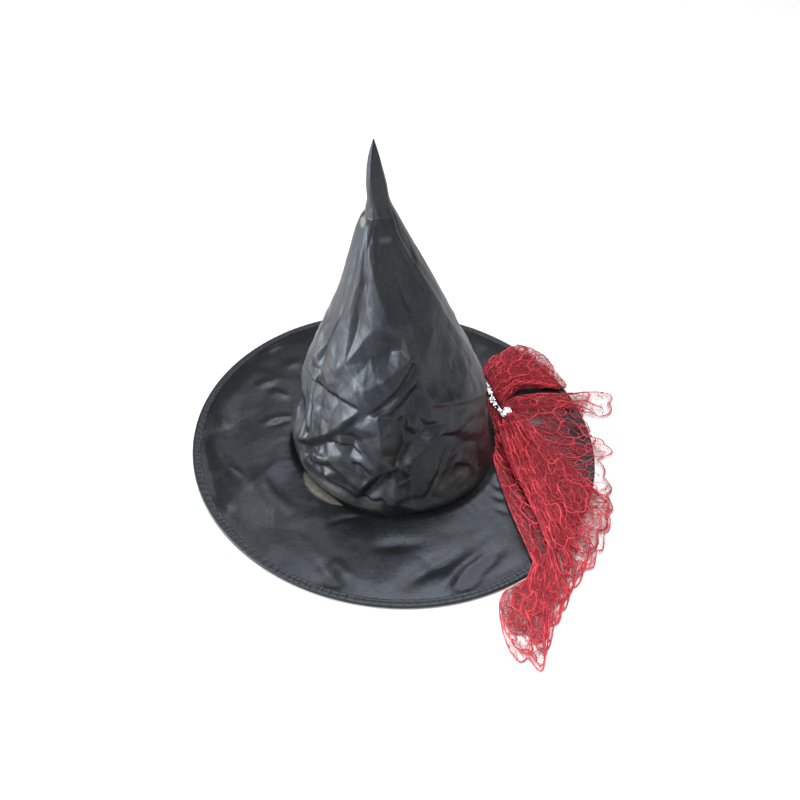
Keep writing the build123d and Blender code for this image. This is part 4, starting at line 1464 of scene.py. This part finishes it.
def make_lights():
    world = bpy.data.worlds.new("studio")
    world.use_nodes = True
    tree = world.node_tree
    direction = tree.nodes.new("ShaderNodeTexCoord").outputs["Generated"]
    total = None
    for towards, start, full, strength, colour in SOFT_LIGHTS:
        cosine = tree.nodes.new("ShaderNodeVectorMath")
        cosine.operation = "DOT_PRODUCT"
        cosine.inputs[1].default_value = Vector(towards).normalized()
        tree.links.new(direction, cosine.inputs[0])
        glow = tree.nodes.new("ShaderNodeMapRange")
        glow.interpolation_type = "SMOOTHSTEP"
        glow.inputs["From Min"].default_value = start
        glow.inputs["From Max"].default_value = full
        glow.inputs["To Max"].default_value = strength
        tree.links.new(cosine.outputs["Value"], glow.inputs["Value"])
        tinted = tree.nodes.new("ShaderNodeVectorMath")
        tinted.operation = "MULTIPLY_ADD"
        tinted.inputs[1].default_value = colour
        tree.links.new(glow.outputs["Result"], tinted.inputs[0])
        if total:
            tree.links.new(total, tinted.inputs[2])
        else:
            tinted.inputs[2].default_value = (AMBIENT, AMBIENT, AMBIENT)
        total = tinted.outputs["Vector"]
    tree.links.new(total, tree.nodes["Background"].inputs["Color"])
    bpy.context.scene.world = world
    area_light("key_left", (-1.9, -0.60, 0.60), (0, 0, 0.08), 0.6, 7, (0.96, 0.98, 1.0))
    area_light("low_left", (-1.3, -0.38, 0.22), (0, 0, 0.07), 0.5, 22, (0.95, 0.98, 1.0))
    area_light("low_right", (1.0, -0.95, 0.32), (0, 0, 0.1), 0.6, 2.5, (1.0, 0.97, 0.92))
    area_light("overhead", (0.0, -0.35, 2.2), (0, 0, 0), 1.2, 30, (0.99, 0.99, 1.0))
    bpy.context.scene.view_settings.view_transform = "Standard"


CAMERA_PLACE = (0.0011, -0.6584, 0.6860)
CAMERA_TARGET = (0.0011, 0.0273, 0.0285)
CAMERA_ROLL = math.radians(4.85)
CAMERA_LENS = 44.8


def make_camera():
    data = bpy.data.cameras.new("camera")
    data.lens = CAMERA_LENS
    data.sensor_width = 36.0
    data.clip_end = 50
    camera = bpy.data.objects.new("camera", data)
    camera.location = CAMERA_PLACE
    ahead = Vector(CAMERA_TARGET) - Vector(CAMERA_PLACE)
    look = ahead.to_track_quat("-Z", "Y").to_matrix().to_4x4()
    camera.rotation_euler = (look @ Matrix.Rotation(CAMERA_ROLL, 4, "Z")).to_euler()
    bpy.context.scene.collection.objects.link(camera)
    bpy.context.scene.camera = camera


# ---- the hat -----------------------------------------------------------------------------
TAFFETA = taffeta(
    "black_taffeta", (0.010, 0.0115, 0.0150), (0.017, 0.0155, 0.0105), 0.35, crinkle_depth=0.15 * MM
)
# the brim's cloth is a darker copy of the crown's taffeta: painted shade
TAFFETA_BRIM = taffeta("brim_taffeta", (0.008, 0.0088, 0.0105), (0.013, 0.0122, 0.0095), 0.30)
TAFFETA_UNDER = taffeta("under_taffeta", (0.022, 0.024, 0.028), (0.026, 0.024, 0.021), 0.52)
TAPE = taffeta("binding_taffeta", (0.013, 0.0145, 0.018), (0.02, 0.019, 0.015), 0.38, 0.35 * MM)
LINING = felt("stiffener_felt", 0.16, 0.07, 900.0)
SEAM_THREAD = thread_material("seam_thread", (0.006, 0.006, 0.007), (0.02, 0.02, 0.022))
BLACK_THREAD = thread_material("black_thread", (0.02, 0.02, 0.023), (0.16, 0.165, 0.17))

CROWN = make_crown(TAFFETA, LINING)
make_brim(TAFFETA_BRIM, TAFFETA_UNDER)
make_binding(TAPE)
make_stitches(
    "binding_stitches",
    ring_stitches(STITCH_R / MM - 1.2, BINDING_TOP / MM + 0.2, 3.1, 2.5, 0.22, 31),
    BLACK_THREAD, "thread", "binding_stitching",
)
LACE = (
    lace_net("red_lace_net"),
    lace_cord("red_lace_cord", (0.36, 0.010, 0.026), (0.80, 0.072, 0.098)),
    lace_cord("red_lace_thread", (0.30, 0.008, 0.022), (0.52, 0.028, 0.048)),
)
# Each piece of lace: its ribs, the seed of its folds, the reach and share of its open cells by the
# hem, the seed of its cords, the CAD node it stands for, and how near the hem its threads thin out.
for name, ribs, fold_seed, openings, seed, node, airy in (
    ("lace_lobe", LOBE_RIBS, 61, (0, 0), 71, "lace_gather", 0),
    ("lace_veil", VEIL_RIBS, 63, (24, 0.68), 73, "lace_scarf", 26),
    ("lace_tail", TAIL_RIBS, 65, (17, 0.75), 75, "lace_scarf", 18),
):
    lace = Lace(ribs, LACE_STEP, fold_seed)
    make_lace(name, lace, hem_openings(*openings, seed), seed, LACE, [node], airy)
RED_THREAD = thread_material("red_thread", (0.30, 0.008, 0.02), (0.60, 0.04, 0.06))
make_stitches("gather_thread", gather_stitches(), RED_THREAD, "red_thread", "gather_stitches")
make_stitches(
    "base_seam_stitches", ring_stitches(CROWN_R / MM + 0.5, BRIM_TOP / MM + 0.1, 2.8, 2.2, 0.2, 32),
    SEAM_THREAD, "thread", "base_seam_stitching",
)
make_stitches("tuck_thread", tuck_stitches(CROWN), SEAM_THREAD, "thread", "tuck_stitches")
make_trim(foil("silver_foil"))
make_stone(crystal("clear_crystal"), metal("bright_chrome", (0.86, 0.87, 0.9), 0.12, 900.0))
assign("brim_interlining", LINING)
assign("edge_wire", metal("drawn_wire", (0.60, 0.60, 0.62), 0.3, 1500.0))
assign("wire_joiner", metal("crimp_sleeve", (0.75, 0.76, 0.78), 0.35, 700.0))
RIBBON = sweatband_ribs("sweatband_ribbon", (0.012, 0.012, 0.014), (0.075, 0.075, 0.08), 0.088, 1.1 * MM)
assign("sweatband", RIBBON)
assign("sweatband_stitching", BLACK_THREAD)
make_stage()
make_lights()
make_camera()
